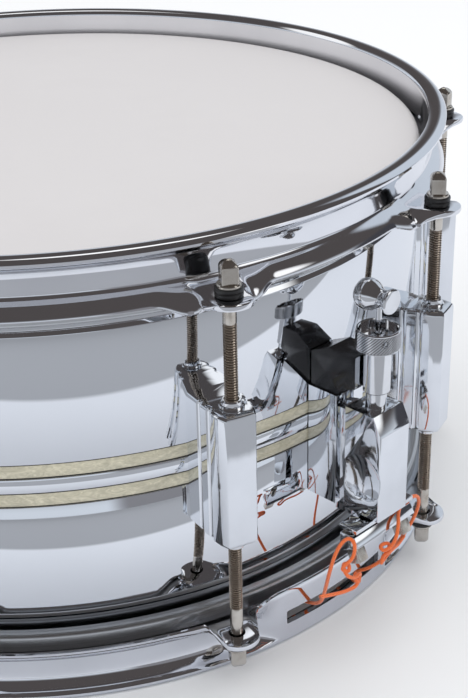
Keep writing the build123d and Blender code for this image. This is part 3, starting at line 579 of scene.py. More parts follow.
# ---------------------------------------------------------------- geometry node trees
def node_tree(name, inputs):
    tree = bpy.data.node_groups.new(name, "GeometryNodeTree")
    for label, kind, default in inputs:
        socket = tree.interface.new_socket(name=label, in_out="INPUT", socket_type=kind)
        if default is not None:
            socket.default_value = default
    tree.interface.new_socket(name="Geometry", in_out="OUTPUT", socket_type="NodeSocketGeometry")
    return tree, tree.nodes.new("NodeGroupInput"), tree.nodes.new("NodeGroupOutput")


def coil_tree():
    """A row of round coils: the rod threads and the snare wires."""
    tree, given, out = node_tree(
        "Coils",
        [
            ("Steps", "NodeSocketInt", 12),
            ("Turns", "NodeSocketFloat", 10.0),
            ("Radius", "NodeSocketFloat", 0.002),
            ("Height", "NodeSocketFloat", 0.01),
            ("Wire", "NodeSocketFloat", 0.0003),
            ("Sides", "NodeSocketInt", 4),
            ("Count", "NodeSocketInt", 1),
            ("Spacing", "NodeSocketVector", (0.002, 0.0, 0.0)),
            ("Material", "NodeSocketMaterial", None),
        ],
    )
    spiral = tree.nodes.new("GeometryNodeCurveSpiral")
    section = tree.nodes.new("GeometryNodeCurvePrimitiveCircle")
    upright = node(tree, "GeometryNodeSetCurveNormal", mode="Z_UP")
    tube = tree.nodes.new("GeometryNodeCurveToMesh")
    row = tree.nodes.new("GeometryNodeMeshLine")
    place = tree.nodes.new("GeometryNodeInstanceOnPoints")
    real = tree.nodes.new("GeometryNodeRealizeInstances")
    paint = tree.nodes.new("GeometryNodeSetMaterial")
    wire(tree, [
        (given, "Steps", spiral, "Resolution"), (given, "Turns", spiral, "Rotations"),
        (given, "Radius", spiral, "Start Radius"), (given, "Radius", spiral, "End Radius"),
        (given, "Height", spiral, "Height"), (given, "Sides", section, "Resolution"),
        (given, "Wire", section, "Radius"), (spiral, "Curve", upright, "Curve"),
        (upright, "Curve", tube, "Curve"), (section, "Curve", tube, "Profile Curve"),
    ])
    tube.inputs["Fill Caps"].default_value = True
    wire(tree, [
        (given, "Count", row, "Count"), (given, "Spacing", row, "Offset"), (row, "Mesh", place, "Points"),
        (tube, "Mesh", place, "Instance"), (place, "Instances", real, "Geometry"),
        (real, "Geometry", paint, "Geometry"), (given, "Material", paint, "Material"),
        (paint, "Geometry", out, "Geometry"),
    ])
    return tree


def round_row_tree():
    """Copies of a piece set round the drum's axis at even angles."""
    tree, given, out = node_tree(
        "Round row",
        [
            ("Piece", "NodeSocketGeometry", None),
            ("Count", "NodeSocketInt", LUG_COUNT),
            ("First", "NodeSocketFloat", FIRST_LUG),
            ("Material", "NodeSocketMaterial", None),
        ],
    )
    row = tree.nodes.new("GeometryNodeMeshLine")
    row.inputs["Offset"].default_value = (0.0, 0.0, 0.0)
    index = tree.nodes.new("GeometryNodeInputIndex")
    share = node(tree, "ShaderNodeMath", operation="DIVIDE", in_0=2 * math.pi)
    turn = node(tree, "ShaderNodeMath", operation="MULTIPLY_ADD")
    spin = tree.nodes.new("ShaderNodeCombineXYZ")
    place = tree.nodes.new("GeometryNodeInstanceOnPoints")
    real = tree.nodes.new("GeometryNodeRealizeInstances")
    paint = tree.nodes.new("GeometryNodeSetMaterial")
    wire(tree, [
        (given, "Count", row, "Count"), (given, "Count", share, 1), (index, "Index", turn, 0),
        (share, 0, turn, 1), (given, "First", turn, 2), (turn, 0, spin, "Z"),
        (row, "Mesh", place, "Points"), (given, "Piece", place, "Instance"),
        (spin, "Vector", place, "Rotation"), (place, "Instances", real, "Geometry"),
        (real, "Geometry", paint, "Geometry"), (given, "Material", paint, "Material"),
        (paint, "Geometry", out, "Geometry"),
    ])
    return tree


def with_tree(made, tree, **values):
    """Adds a geometry node modifier, sets its inputs by identifier, and bakes it."""
    modifier = made.modifiers.new("Build", "NODES")
    modifier.node_group = tree
    for item in tree.interface.items_tree:
        if item.in_out == "INPUT" and item.name in values:
            modifier[item.identifier] = values[item.name]
    return bake_modifiers(made)


def coils(name, material, **values):
    mesh = bpy.data.meshes.new(name)
    made = bpy.data.objects.new(name, mesh)
    bpy.context.scene.collection.objects.link(made)
    return with_tree(made, bpy.data.node_groups["Coils"], Material=MATERIALS[material], **values)


def round_row(name, bm, material):
    """One piece for all ten places, from one bmesh that faces -Y."""
    made = new_piece(name, bm, material)
    tree = bpy.data.node_groups["Round row"]
    return with_tree(made, tree, Count=LUG_COUNT, First=FIRST_LUG, Material=MATERIALS[material])


def drop(made):
    """Deletes an object and its mesh."""
    mesh = made.data
    bpy.data.objects.remove(made)
    bpy.data.meshes.remove(mesh)


def joined(name, parts):
    """Joins objects into one, and keeps each one's material."""
    bm = bmesh.new()
    materials = []
    for part in parts:
        start = len(bm.faces)
        bm.from_mesh(part.data)
        bm.faces.ensure_lookup_table()
        own = part.data.materials[0]
        if own not in materials:
            materials.append(own)
        for face in bm.faces[start:]:
            face.material_index = materials.index(own)
    mesh = bpy.data.meshes.new(name)
    bm.to_mesh(mesh)
    bm.free()
    for own in materials:
        mesh.materials.append(own)
    for part in parts:
        drop(part)
    return piece_from_mesh(name, mesh, None)


# ---------------------------------------------------------------- shell, inlays and heads
def shell_outline():
    """Wall section with stepped-in ends and two grooves, as a closed loop of (radius, z)."""
    radius, low, high = SHELL_RADIUS, SHELL_LOW, SHELL_HIGH
    step, step_length, flange, wall, soft = 1.4, 22.0, 2.0, 1.0, 0.35
    end = radius - step
    outside = [
        (end - flange, low),
        (end - 0.6, low + 0.5),
        (end, low + flange),
        (end, low + step_length - step - soft),
        (end + 0.2, low + step_length - step + 0.1),
        (radius - 0.2, low + step_length - 0.1),
        (radius, low + step_length + soft),
    ]
    inlay_low, inlay_high = (corner.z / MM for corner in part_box("inlay_strips"))
    band = 6.3
    for start in (inlay_low, inlay_high - band):
        outside += [
            (radius, start - 0.15),
            (radius - 0.12, start),
            (radius - 0.8, start + 0.05),
            (radius - 0.8, start + band - 0.05),
            (radius - 0.12, start + band),
            (radius, start + band + 0.15),
        ]
    outside += [
        (radius, high - step_length - soft),
        (radius - 0.2, high - step_length + 0.1),
        (end + 0.2, high - step_length + step - 0.1),
        (end, high - step_length + step + soft),
        (end, high - flange),
        (end - 0.6, high - 0.5),
        (end - flange, high),
    ]
    inside = [
        (end - flange - 0.7, high - 0.7),
        (end - wall, high - flange - 0.5),
        (end - wall, high - step_length),
        (radius - wall - 0.8, high - step_length - step),
        (radius - wall - 0.8, low + step_length + step),
        (end - wall, low + step_length),
        (end - wall, low + flange + 0.5),
        (end - flange - 0.7, low + 0.7),
    ]
    return outside + inside


class DRUM_OT_shell(bpy.types.Operator):
    """Build the chromed shell, its inlay strips and the vent badge"""

    bl_idname = "drum.shell"
    bl_label = "Drum wall and inlays"

    def execute(self, context):
        steps = context.scene.drum_sizes.ring_steps
        bm = bmesh.new()
        lathe(bm, shell_outline(), steps, closed=True)
        settle(new_piece("shell_wall", bm, "chrome_shell", 50.0), "root", ["shell"])
        inlay_low, inlay_high = (corner.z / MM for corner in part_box("inlay_strips"))
        band, rim = 6.2, 0.42
        bm = bmesh.new()
        for start in (inlay_low, inlay_high - band):
            low, high = start + rim, start + band - rim
            face, back = SHELL_RADIUS - 0.28, SHELL_RADIUS - 0.78
            outline = [
                (back, low), (face - 0.15, low), (face, low + 0.25), (face + 0.12, (low + high) / 2),
                (face, high - 0.25), (face - 0.15, high), (back, high),
            ]
            lathe(bm, outline, steps, closed=True)
        strips = new_piece("strips", bm, "pearl_inlay")
        bm = bmesh.new()
        for start in (inlay_low, inlay_high - band):
            for low in (start, start + band - rim):
                face, back = SHELL_RADIUS - 0.35, SHELL_RADIUS - 0.78
                lathe(bm, [(back, low), (face, low), (face, low + rim), (back, low + rim)], steps,
                    closed=True)
        seams = new_piece("seams", bm, "gasket_black")
        settle(joined("pearl_strips", [strips, seams]), "root", ["inlay_strips"])
        softened("vent_plate", "vent_badge", "root", "badge_metal", 0.25)
        return {"FINISHED"}


class DRUM_OT_heads(bpy.types.Operator):
    """Build both head films and their channels"""

    bl_idname = "drum.heads"
    bl_label = "Heads"

    def execute(self, context):
        steps = context.scene.drum_sizes.ring_steps
        end = SHELL_RADIUS - 1.4
        crown = [
            (0.0, 0.3), (120.0, 0.3), (end - 3.2, 0.3), (end - 1.8, 0.28), (end - 0.6, -0.1),
            (end + 0.25, -0.9),
            (end + 0.75, -2.0), (end + 0.95, -3.2), (end + 1.0, -8.0), (end + 0.75, -8.0), (end + 0.7, -3.3),
            (end + 0.45, -2.2), (end - 0.1, -1.2), (end - 0.8, -0.4), (end - 1.9, 0.0), (end - 3.2, 0.0),
            (120.0, 0.0), (0.0, 0.0),
        ]
        for name, node_name, material, edge, sign in (
            ("batter_film", "batter_head", "coated_head", SHELL_HIGH, 1),
            ("snare_film", "snare_side_head", "clear_head", SHELL_LOW, -1),
        ):
            bm = bmesh.new()
            lathe(bm, [(radius, edge + sign * rise) for radius, rise in crown], steps)
            settle(new_piece(name, bm, material, 60.0), "root", [node_name])
        for name, node_name in (("batter_channel", "batter_head_ring"), ("snare_channel",
            "snare_side_head_ring")):
            low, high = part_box(node_name)[0].z / MM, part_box(node_name)[1].z / MM
            inner, outer, soft = RING_RADIUS - 5.7, RING_RADIUS, 1.6
            bm = bmesh.new()
            outline = []
            for x, z, first in (
                (outer - soft, low + soft, -90), (outer - soft, high - soft, 0),
                (inner + soft, high - soft, 90), (inner + soft, low + soft, 180),
            ):
                for part in range(6):
                    angle = math.radians(first + 18 * part)
                    outline.append((x + soft * math.cos(angle), z + soft * math.sin(angle)))
            lathe(bm, outline, steps, closed=True)
            settle(new_piece(name, bm, "head_aluminium"), "root", [node_name])
        return {"FINISHED"}


# ---------------------------------------------------------------- hoops
def bezier(points, count):
    """Points on a cubic curve, both ends included."""
    a, b, c, d = (Vector((*point, 0)) for point in points)
    out = []
    for step in range(count):
        s = step / (count - 1)
        p = a * (1 - s) ** 3 + b * 3 * s * (1 - s) ** 2 + c * 3 * s * s * (1 - s) + d * s**3
        out.append((p.x, p.y))
    return out


def smooth_step(value, low, high):
    share = min(1.0, max(0.0, (value - low) / (high - low)))
    return share * share * (3 - 2 * share)


def blend_points(one, other, share):
    return [(a[0] + (b[0] - a[0]) * share, a[1] + (b[1] - a[1]) * share) for a, b in zip(one, other)]


def skirt_controls(t, dip):
    """Control points of the outer and the inner curve at a distance t from an ear's middle."""
    wall = RING_RADIUS - 0.5
    reach = ROD_CIRCLE + math.sqrt(max(0.0, 9.1**2 - min(abs(t), 8.8) ** 2))
    ear_outer = [(wall, 15.8), (wall + 0.2, 20.2), (wall + 6.0, 20.2), (reach, 20.3)]
    ear_inner = [(wall + 1.6, 20.4), (wall + 4.0, 22.4), (wall + 7.0, 22.7), (reach - 0.2, 22.7)]
    wing_outer = [(wall, 15.4), (wall + 0.4, 19.2), (wall + 6.6, 17.9), (wall + 10.2, 22.6 + dip)]
    wing_inner = [(wall + 1.2, 20.3), (wall + 4.6, 20.9), (wall + 8.4, 21.6), (wall + 8.6, 23.4 + dip)]
    plain_outer = [(wall, 15.4), (wall + 0.1, 18.3), (wall + 3.3, 17.3), (wall + 6.0, 23.0)]
    plain_inner = [(wall + 0.7, 20.1), (wall + 1.8, 20.5), (wall + 2.8, 20.8), (wall + 4.0, 23.2)]
    wing = 1 - smooth_step(abs(t), 13.0, 26.0)
    ear = 1 - smooth_step(abs(t), 6.5, 12.5)
    outer = blend_points(blend_points(plain_outer, wing_outer, wing), ear_outer, ear)
    inner = blend_points(blend_points(plain_inner, wing_inner, wing), ear_inner, ear)
    return outer, inner


CURVE_STEPS = 11
EAR_HOLE = 3.5
KEY_TURNS = (24, 51, 8, 33, 62, 17, 40, 71, 29, 75)


def hoop_section(t, dip):
    """Closed hoop section of (radius, drop below the rim)."""
    inside = RING_RADIUS - 2.8
    wall = RING_RADIUS - 0.5
    lip = wall + 6.3
    outer, inner = skirt_controls(t, dip)
    points = [(inside, 19.9), (inside, 14.0), (inside, 8.0), (inside, 3.0), (inside + 0.2, 1.5)]
    points += [(inside + 0.8, 0.55), (inside + 1.9, 0.12), (inside + 3.6, 0.0), (inside + 5.6, 0.0)]
    points += [(lip - 1.6, 0.18), (lip - 0.6, 0.7), (lip - 0.05, 1.6), (lip - 0.1, 2.6), (lip - 0.8, 3.3)]
    points += [(lip - 1.8, 3.7), (wall + 3.2, 4.3), (wall + 2.0, 5.2), (wall + 1.0, 6.6), (wall + 0.4, 8.3)]
    points += [(wall + 0.1, 10.2), (wall, 12.4)]
    points += bezier(outer, CURVE_STEPS)
    end, back = outer[3], inner[3]
    along = Vector((end[0] - outer[2][0], end[1] - outer[2][1])).normalized() * 0.9
    middle = ((end[0] + back[0]) / 2, (end[1] + back[1]) / 2)
    points += [(end[0] * 0.8 + middle[0] * 0.2 + along.x * 0.7,
        end[1] * 0.8 + middle[1] * 0.2 + along.y * 0.7)]
    points += [(middle[0] + along.x, middle[1] + along.y)]
    points += [(back[0] * 0.8 + middle[0] * 0.2 + along.x * 0.7,
        back[1] * 0.8 + middle[1] * 0.2 + along.y * 0.7)]
    points += list(reversed(bezier(inner, CURVE_STEPS)))
    points += [(inside + 1.2, 20.1)]
    return points


def gate_section():
    """Section at a snare gate, point for point like hoop_section: the wall stands at the skirt."""
    inside = RING_RADIUS - 2.8
    wall = RING_RADIUS - 0.5
    lip = wall + 6.3
    face, back, drop = wall + 6.0, wall + 3.7, 25.2
    points = [(inside, 3.8), (inside, 3.4), (inside, 2.8), (inside, 2.2), (inside + 0.2, 1.5)]
    points += [(inside + 0.8, 0.55), (inside + 1.9, 0.12), (inside + 3.6, 0.0), (inside + 5.6, 0.0)]
    points += [(lip - 1.6, 0.18), (lip - 0.6, 0.7), (lip - 0.05, 1.6), (lip - 0.1, 2.4), (lip - 0.15, 2.9)]
    points += [(lip - 0.22, 3.3), (face + 0.05, 3.8), (face + 0.02, 4.6), (face, 5.6), (face, 7.0)]
    points += [(face, 9.0), (face, 12.0)]
    points += [(face, 13.0 + (drop - 13.0) * step / (CURVE_STEPS - 1)) for step in range(CURVE_STEPS)]
    points += [(face - 0.4, drop + 0.8), ((face + back) / 2, drop + 1.0), (back + 0.4, drop + 0.8)]
    points += [(back, drop - (drop - 6.0) * step / (CURVE_STEPS - 1)) for step in range(CURVE_STEPS)]
    points += [(back - 1.4, 4.2)]
    return points


def hoop_angles():
    """Angles for the hoop's sections: close together at the ears."""
    angles = []
    for ear in range(LUG_COUNT):
        middle = FIRST_LUG + ear * LUG_STEP
        degrees = -18.0
        while degrees < 17.99:
            angles.append(middle + math.radians(degrees))
            near = abs(degrees) < 8.0
            degrees += 0.4 if near else 0.9
            degrees = min(degrees, 18.0)
    return angles


def rounded_box(bm, centre, size, corner, depth):
    """A prism with rounded corners, whose length runs along Y."""
    loop = []
    for x, z, first in ((1, 1, 0), (-1, 1, 90), (-1, -1, 180), (1, -1, 270)):
        for part in range(5):
            angle = math.radians(first + 22.5 * part)
            loop.append((
                x * (size[0] - corner) + corner * math.cos(angle),
                z * (size[1] - corner) + corner * math.sin(angle),
            ))
    ends = [
        [Vector((centre[0] + x, centre[1] + y, centre[2] + z)) * MM for x, z in loop]
        for y in (-depth, depth)
    ]
    loft(bm, ends, closed_along=False, caps=True)


class DRUM_OT_hoops(bpy.types.Operator):
    """Build both flanged hoops with ears, and the snare gates of the lower one"""

    bl_idname = "drum.hoops"
    bl_label = "Hoops"

    def execute(self, context):
        dip = context.scene.drum_sizes.ear_dip
        for name, node_name, upper in (("upper_hoop", "batter_hoop", True), ("lower_hoop",
            "snare_side_hoop", False)):
            loops = []
            for angle in hoop_angles():
                nearest = round((angle - FIRST_LUG) / LUG_STEP) * LUG_STEP + FIRST_LUG
                t = ROD_CIRCLE * math.sin(angle - nearest)
                section = hoop_section(t, dip)
                if not upper:
                    offset = min(abs(math.degrees(angle) % 180.0), 180.0 - abs(math.degrees(angle) % 180.0))
                    share = 1 - smooth_step(offset, 9.6, 15.4)
                    section = blend_points(section, gate_section(), share)
                sine, cosine = math.sin(angle), math.cos(angle)
                loops.append([
                    Vector((radius * sine, -radius * cosine, HEIGHT - drop if upper else drop)) * MM
                    for radius, drop in section
                ])
            bm = bmesh.new()
            loft(bm, loops)
            hoop = new_piece(name, bm, "chrome_hoop", 45.0)
            cutter = bmesh.new()
            for ear in range(LUG_COUNT):
                hole = bmesh.new()
                drops = (18.5, 24.5)
                low, high = sorted((HEIGHT - drop if upper else drop) for drop in drops)
                lathe(hole, [(0, low), (EAR_HOLE, low), (EAR_HOLE, high), (0, high)], 24)
                hole.transform(at_angle(FIRST_LUG + ear * LUG_STEP) @ Matrix.Translation((0,
                    -ROD_CIRCLE * MM, 0)))
                absorb(cutter, hole)
            if not upper:
                for side in (-1, 1):
                    rounded_box(cutter, (0, side * (RING_RADIUS + 4), 12.3), (CORD_GATE_HALF, 3.3), 0.7, 9.0)
            cut(hoop, cutter)
            settle(hoop, "root", [node_name])
        return {"FINISHED"}


# ---------------------------------------------------------------- rods and their fittings
def square_loop(half, corner, z, steps=5):
    loop = []
    for x, y, first in ((1, 1, 0), (-1, 1, 90), (-1, -1, 180), (1, -1, 270)):
        for part in range(steps):
            angle = math.radians(first + 90 * part / (steps - 1))
            px = x * (half - corner) + corner * math.cos(angle)
            py = y * (half - corner) + corner * math.sin(angle)
            loop.append((px, py, z(math.hypot(px, py)) if callable(z) else z))
    return loop


def key_head(bm, base, tip):
    """Square key with an arched top, standing on Z from base to tip."""
    half, dome = 3.15, 4.5
    centre = tip - dome

    def crown(radius):
        return centre + math.sqrt(max(0.0, dome * dome - radius * radius))

    loops = [square_loop(half, 0.55, base), square_loop(half, 0.55, lambda r: crown(r) - 0.25)]
    for share in (0.97, 0.85, 0.65, 0.4, 0.15):
        loops.append(square_loop(half * share, 0.55 * share, crown))
    rows = [[Vector(point) * MM for point in loop] for loop in loops]
    loft(bm, rows, closed_along=False, caps=True)


class DRUM_OT_rods(bpy.types.Operator):
    """Build the threaded key rods, each on its own body"""

    bl_idname = "drum.rods"
    bl_label = "Key rods"

    def execute(self, context):
        sizes = context.scene.drum_sizes
        coil_tree()
        washer_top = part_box("nylon_washers")[1].z / MM
        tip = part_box(UPPER_RODS[0])[1].z / MM
        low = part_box(UPPER_RODS[0])[0].z / MM
        plain = {"upper": 161.0, "lower": 35.0}
        shank, core = 2.62, 2.2
        for side, names in (("upper", UPPER_RODS), ("lower", LOWER_RODS)):
            # The lower rod is modelled as an upper one and turned over.
            end = low if side == "upper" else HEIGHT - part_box(LOWER_RODS[0])[1].z / MM
            thread_top = plain["upper"] if side == "upper" else HEIGHT - plain["lower"]
            length = thread_top - end - 1.0
            turns = length / sizes.thread_pitch
            thread = coils(
                "thread", "thread", Steps=20, Turns=turns, Radius=(core + 0.05) * MM, Height=length * MM,
                Wire=sizes.thread_depth * MM, Sides=6, Count=1,
            )
            thread.data.transform(Matrix.Translation((0, 0, (end + 0.8) * MM)))
            # The core shows between the thread coils. Its near-black colour is painted shade in the thread
            # roots.
            bm = bmesh.new()
            lathe(bm, [(0, end), (core - 0.5, end), (core, end + 0.7), (core, thread_top), (0,
                thread_top)], 20)
            core_part = new_piece("core", bm, "groove")
            bm = bmesh.new()
            collar = washer_top + 0.08
            lathe(bm, [
                (0, thread_top - 0.4), (core + 0.05, thread_top - 0.4), (shank, thread_top + 0.5),
                (shank, collar - 0.3),
                (4.3, collar - 0.3), (4.65, collar), (4.65, collar + 0.7), (4.3, collar + 1.2), (3.5,
                collar + 1.4),
                (0, collar + 1.4),
            ], 32)
            key_head(bm, collar + 0.8, tip)
            body_part = new_piece("body", bm, "nickel")
            rod = joined("rod", [body_part, thread, core_part])
            if side == "lower":
                rod.data.transform(Matrix.Translation((0, 0, HEIGHT * MM)) @ Matrix.Rotation(math.pi, 4, "X"))
            for number, name in enumerate(names):
                mesh = rod.data.copy()
                spin = Matrix.Rotation(math.radians(KEY_TURNS[number]), 4, "Z")
                out = Matrix.Translation((0, -ROD_CIRCLE * MM, 0))
                mesh.transform(at_angle(FIRST_LUG + number * LUG_STEP) @ out @ spin)
                piece = piece_from_mesh(f"key_{name}", mesh, None)
                settle(piece, name, [name])
            drop(rod)
        return {"FINISHED"}


def lug_loop(inset, z):
    """Plan of a lug at one height: chamfered front, two flutes on each side."""
    back, front = SHELL_RADIUS - 0.4, SHELL_RADIUS + 26.0 - inset
    side = [(back, 10.0 - inset)]
    slope = 2.0 / 26.0
    for distance in (9.0, 16.0):
        face = 10.0 - inset - slope * distance
        for part in range(7):
            angle = math.pi * part / 6
            side.append((SHELL_RADIUS + distance - 1.7 * math.cos(angle), face - 1.25 * math.sin(angle)))
    side += [(front - 4.0, 8.0 - inset), (front - 3.4, 7.75 - inset), (front - 0.5, 6.5 - inset), (front,
        6.0 - inset)]
    side += [(front, 2.0)]
    loop = side + [(radius, -t) for radius, t in reversed(side)]
    return [Vector((t, -radius, z)) * MM for radius, t in loop]


class DRUM_OT_lugs(bpy.types.Operator):
    """Build the ten bridge lugs, their gaskets, nuts and washers"""

    bl_idname = "drum.lugs"
    bl_label = "Lugs and fittings"

    def execute(self, context):
        round_row_tree()
        bm = bmesh.new()
        levels = [(1.7, 0.0), (0.7, 0.25), (0.2, 0.9), (0.0, 1.8)]
        loops = [lug_loop(inset, LUG_LOW + rise) for inset, rise in levels]
        loops += [lug_loop(inset, LUG_HIGH - rise) for inset, rise in reversed(levels)]
        loft(bm, loops, closed_along=False, caps=True)
        lugs = round_row("bridge_lugs", bm, "chrome_cast")
        settle(lugs, "root", LUGS)
        bm = bmesh.new()
        for top, sign in ((LUG_HIGH, 1), (LUG_LOW, -1)):
            outline = [
                (2.8, -2.0), (3.9, -2.0), (4.9, -0.05), (4.95, 0.9), (4.6, 1.5), (4.0, 1.75), (3.9, 2.1),
                (3.9, 3.1), (3.5, 3.6), (3.0, 3.6), (2.8, 3.3),
            ]
            ring = bmesh.new()
            lathe(ring, [(radius, top + sign * rise) for radius, rise in outline], 28, closed=True)
            ring.transform(Matrix.Translation((0, -ROD_CIRCLE * MM, 0)))
            absorb(bm, ring)
        nuts = round_row("nuts", bm, "chrome_turned")
        settle(nuts, "root", ["swivel_nuts"])
        bm = bmesh.new()
        low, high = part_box("nylon_washers")[0].z / MM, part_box("nylon_washers")[1].z / MM
        for base in (low, high - 3.9):
            outline = [
                (3.0, 0.1), (4.7, 0.0), (5.2, 0.3), (5.35, 1.0), (5.3, 1.8), (5.05, 2.1), (5.3, 2.45),
                (5.4, 3.0),
                (5.3, 3.6), (4.9, 3.9), (3.0, 3.9),
            ]
            if base == low:
                outline = [(radius, 3.9 - rise) for radius, rise in outline]
            ring = bmesh.new()
            lathe(ring, [(radius, base + rise) for radius, rise in outline], 32, closed=True)
            ring.transform(Matrix.Translation((0, -ROD_CIRCLE * MM, 0)))
            absorb(bm, ring)
        washers = round_row("washers", bm, "nylon_black")
        settle(washers, "root", ["nylon_washers"])
        softened("gaskets", "lug_gaskets", "root", "gasket_black", 0)
        softened("inner_screws", "mounting_screws", "root", "screw_steel", 0)
        return {"FINISHED"}


# ---------------------------------------------------------------- strainer and butt end
# The casting's black upper bracket is above this height and nearer the shell than this.
BRACKET_LOW = 107.0
BRACKET_FRONT = 198.5


def knurled_cup(bm, count):
    """Cup with diamond knurling, open at the top, standing on Z."""
    low, high = (corner.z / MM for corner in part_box("tension_knob"))
    radius, rows = 8.75, 11
    start, end = low + 0.9, high - 0.9
    loops = []
    steps = 2 * count

    def ring(r, z, wave=None):
        points = []
        for step in range(steps):
            angle = 2 * math.pi * step / steps
            out = r + (0.42 if wave is not None and (step + wave) % 2 == 0 else 0.0)
            points.append(Vector((out * math.cos(angle), out * math.sin(angle), z)) * MM)
        return points

    loops += [ring(3.9, low), ring(8.2, low), ring(8.75, low + 0.35), ring(8.7, low + 0.7)]
    for row in range(rows + 1):
        loops.append(ring(radius - 0.3, start + (end - start) * row / rows, row))
    loops += [ring(8.7, high - 0.7), ring(8.75, high - 0.4), ring(8.4, high), ring(7.9, high), ring(7.6,
        high - 0.3)]
    loops += [ring(7.55, high - 4.4), ring(7.0, high - 4.9), ring(3.2, high - 5.0), ring(3.1, high - 3.2)]
    loops += [ring(2.7, high - 2.6), ring(1.65, high - 2.5), ring(1.6, low + 2.1), ring(3.9, low + 2.1)]
    loft(bm, loops)


class DRUM_OT_strainer(bpy.types.Operator):
    """Build the strainer: casting, sleeve, knurled cup, spool handle and clamp"""

    bl_idname = "drum.strainer"
    bl_label = "Strainer"

    def execute(self, context):
        here = Matrix.Translation((0, -STRAINER_RADIUS * MM, 0))
        casting = softened("strainer_casting", "strainer_body", "root", "chrome_cast", 0.5)
        clear = bmesh.new()
        rounded_box(clear, (0, -STRAINER_RADIUS - 5.0, 125.2), (10.0, 8.2), 0.5, 10.6)
        cut(casting, clear)
        casting.data.materials.append(MATERIALS["bracket_black"])
        for face in casting.data.polygons:
            outward = -face.center.y / MM
            if face.center.z / MM > BRACKET_LOW and outward < BRACKET_FRONT:
                face.material_index = 1
        bm = bmesh.new()
        knurled_cup(bm, context.scene.drum_sizes.knurl_count)
        bm.transform(here)
        cup = new_piece("adjusting_cup", bm, "chrome_turned", 14.0)
        # The knurl band gets the material with painted shade in its valleys.
        cup.data.materials.append(MATERIALS["knurled"])
        knob_low, knob_high = (corner.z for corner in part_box("tension_knob"))
        for face in cup.data.polygons:
            reach = math.hypot(face.center.x, face.center.y + STRAINER_RADIUS * MM)
            if reach > 8.3 * MM and knob_low + 0.8 * MM < face.center.z < knob_high - 0.8 * MM:
                face.material_index = 1
        drill = bmesh.new()
        lathe(drill, [(0, 6.0), (1.15, 6.0), (1.15, 11.0), (0, 11.0)], 16)
        pin_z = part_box("tension_knob")[1].z - 3.8 * MM
        drill.transform(
            here @ Matrix.Rotation(math.radians(-32), 4, "Z") @ Matrix.Translation((0, 0, pin_z))
            @ Matrix.Rotation(math.radians(90), 4, "X")
        )
        cut(cup, drill)
        for face in cup.data.polygons:
            face.use_smooth = face.material_index == 0
        settle(cup, "tension_knob", ["tension_knob"])

        low, high = (corner.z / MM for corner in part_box("strainer_sleeve"))
        bm = bmesh.new()
        lathe(bm, [
            (1.7, low), (4.2, low), (4.2, low + 6.6), (5.1, low + 6.9), (5.4, low + 7.3), (5.4, high - 2.5),
            (5.1, high - 2.1), (4.0, high - 2.0), (4.0, high), (1.7, high),
        ], 48, closed=True)
        bm.transform(here)
        settle(new_piece("sleeve", bm, "chrome_turned"), "root", ["strainer_sleeve"])

        stem_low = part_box("throw_handle")[0].z / MM
        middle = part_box("throw_handle")[1].z / MM - 6.4
        bm = bmesh.new()
        lathe(bm, [(0, stem_low), (1.2, stem_low), (1.2, middle - 3.0), (2.0, middle - 2.0), (0,
            middle - 1.0)], 20)
        spool = bmesh.new()
        outline = [
            (0, -9.6), (3.4, -9.55), (4.6, -9.2), (5.6, -8.2), (6.2, -6.8), (6.4, -5.2), (6.2, -3.6),
            (5.6, -2.2),
            (4.7, -0.9), (4.0, 0.5), (3.7, 1.7), (3.8, 2.9), (4.3, 4.0), (4.9, 4.9), (5.2, 5.5), (5.2, 6.0),
            (4.8, 6.4), (4.2, 6.6),
            (0, 6.6),
        ]
        lathe(spool, outline, 48)
        spool.transform(Matrix.Translation((0, 0, middle * MM)) @ Matrix.Rotation(math.radians(90), 4, "X"))
        absorb(bm, spool)
        bm.transform(here)
        settle(new_piece("handle", bm, "chrome_turned"), "throw_handle", ["throw_handle"])

        softened("piston", "strainer_piston", "strainer_piston", "screw_steel", 0.2)
        softened("clamp_top", "snare_clamp_block", "snare_clamp", "chrome_cast", 0.3)
        softened("clamp_bar", "snare_clamp_plate", "snare_clamp", "chrome_cast", 0.2)
        softened("clamp_screws", "snare_clamp_screws", "snare_clamp", "nickel", 0.25)
        return {"FINISHED"}


class DRUM_OT_butt_end(bpy.types.Operator):
    """Build the butt end and its strap"""

    bl_idname = "drum.butt_end"
    bl_label = "Butt end"

    def execute(self, context):
        softened("butt_casting", "butt_body", "root", "chrome_cast", 0.8)
        softened("butt_cover", "butt_plate", "root", "chrome_cast", 0.5)
        softened("butt_bolts", "butt_screws", "root", "nickel", 0.25)
        softened("strap", "butt_strap", "root", "strap_nylon", 0)
        return {"FINISHED"}


# ---------------------------------------------------------------- snares and cords
LEFT_CORD = [
    (-13.0, -156.2, 10.2), (-13.1, -159.6, 6.2), (-13.3, -165.5, 5.8), (-14.0, -172.0, 7.0), (-15.0,
    -181.0, 10.6),
    (-16.5, -189.0, 14.0), (-20.0, -196.0, 21.0), (-24.5, -201.5, 32.0), (-27.5, -206.0, 43.5),
    (-27.5, -208.6, 53.5), (-24.5, -209.6, 59.0), (-19.5, -209.6, 59.2), (-19.9, -213.2, 57.6), (-21.0,
    -213.2, 51.5),
    (-24.2, -211.4, 48.9), (-25.2, -210.6, 46.8), (-23.0, -212.8, 45.6), (-21.6, -211.6, 48.2), (-24.0,
    -209.9, 49.0),
    (-24.6, -212.6, 44.4), (-20.0, -213.4, 41.2), (-15.8, -212.6, 41.6), (-15.2, -211.8, 38.8), (-18.2,
    -213.8, 37.8),
    (-19.4, -212.2, 40.8), (-16.6, -211.2, 41.9), (-17.8, -213.6, 37.0), (-24.0, -212.6, 36.8), (-31.0,
    -212.0, 38.6),
    (-38.5, -211.0, 41.0),
]
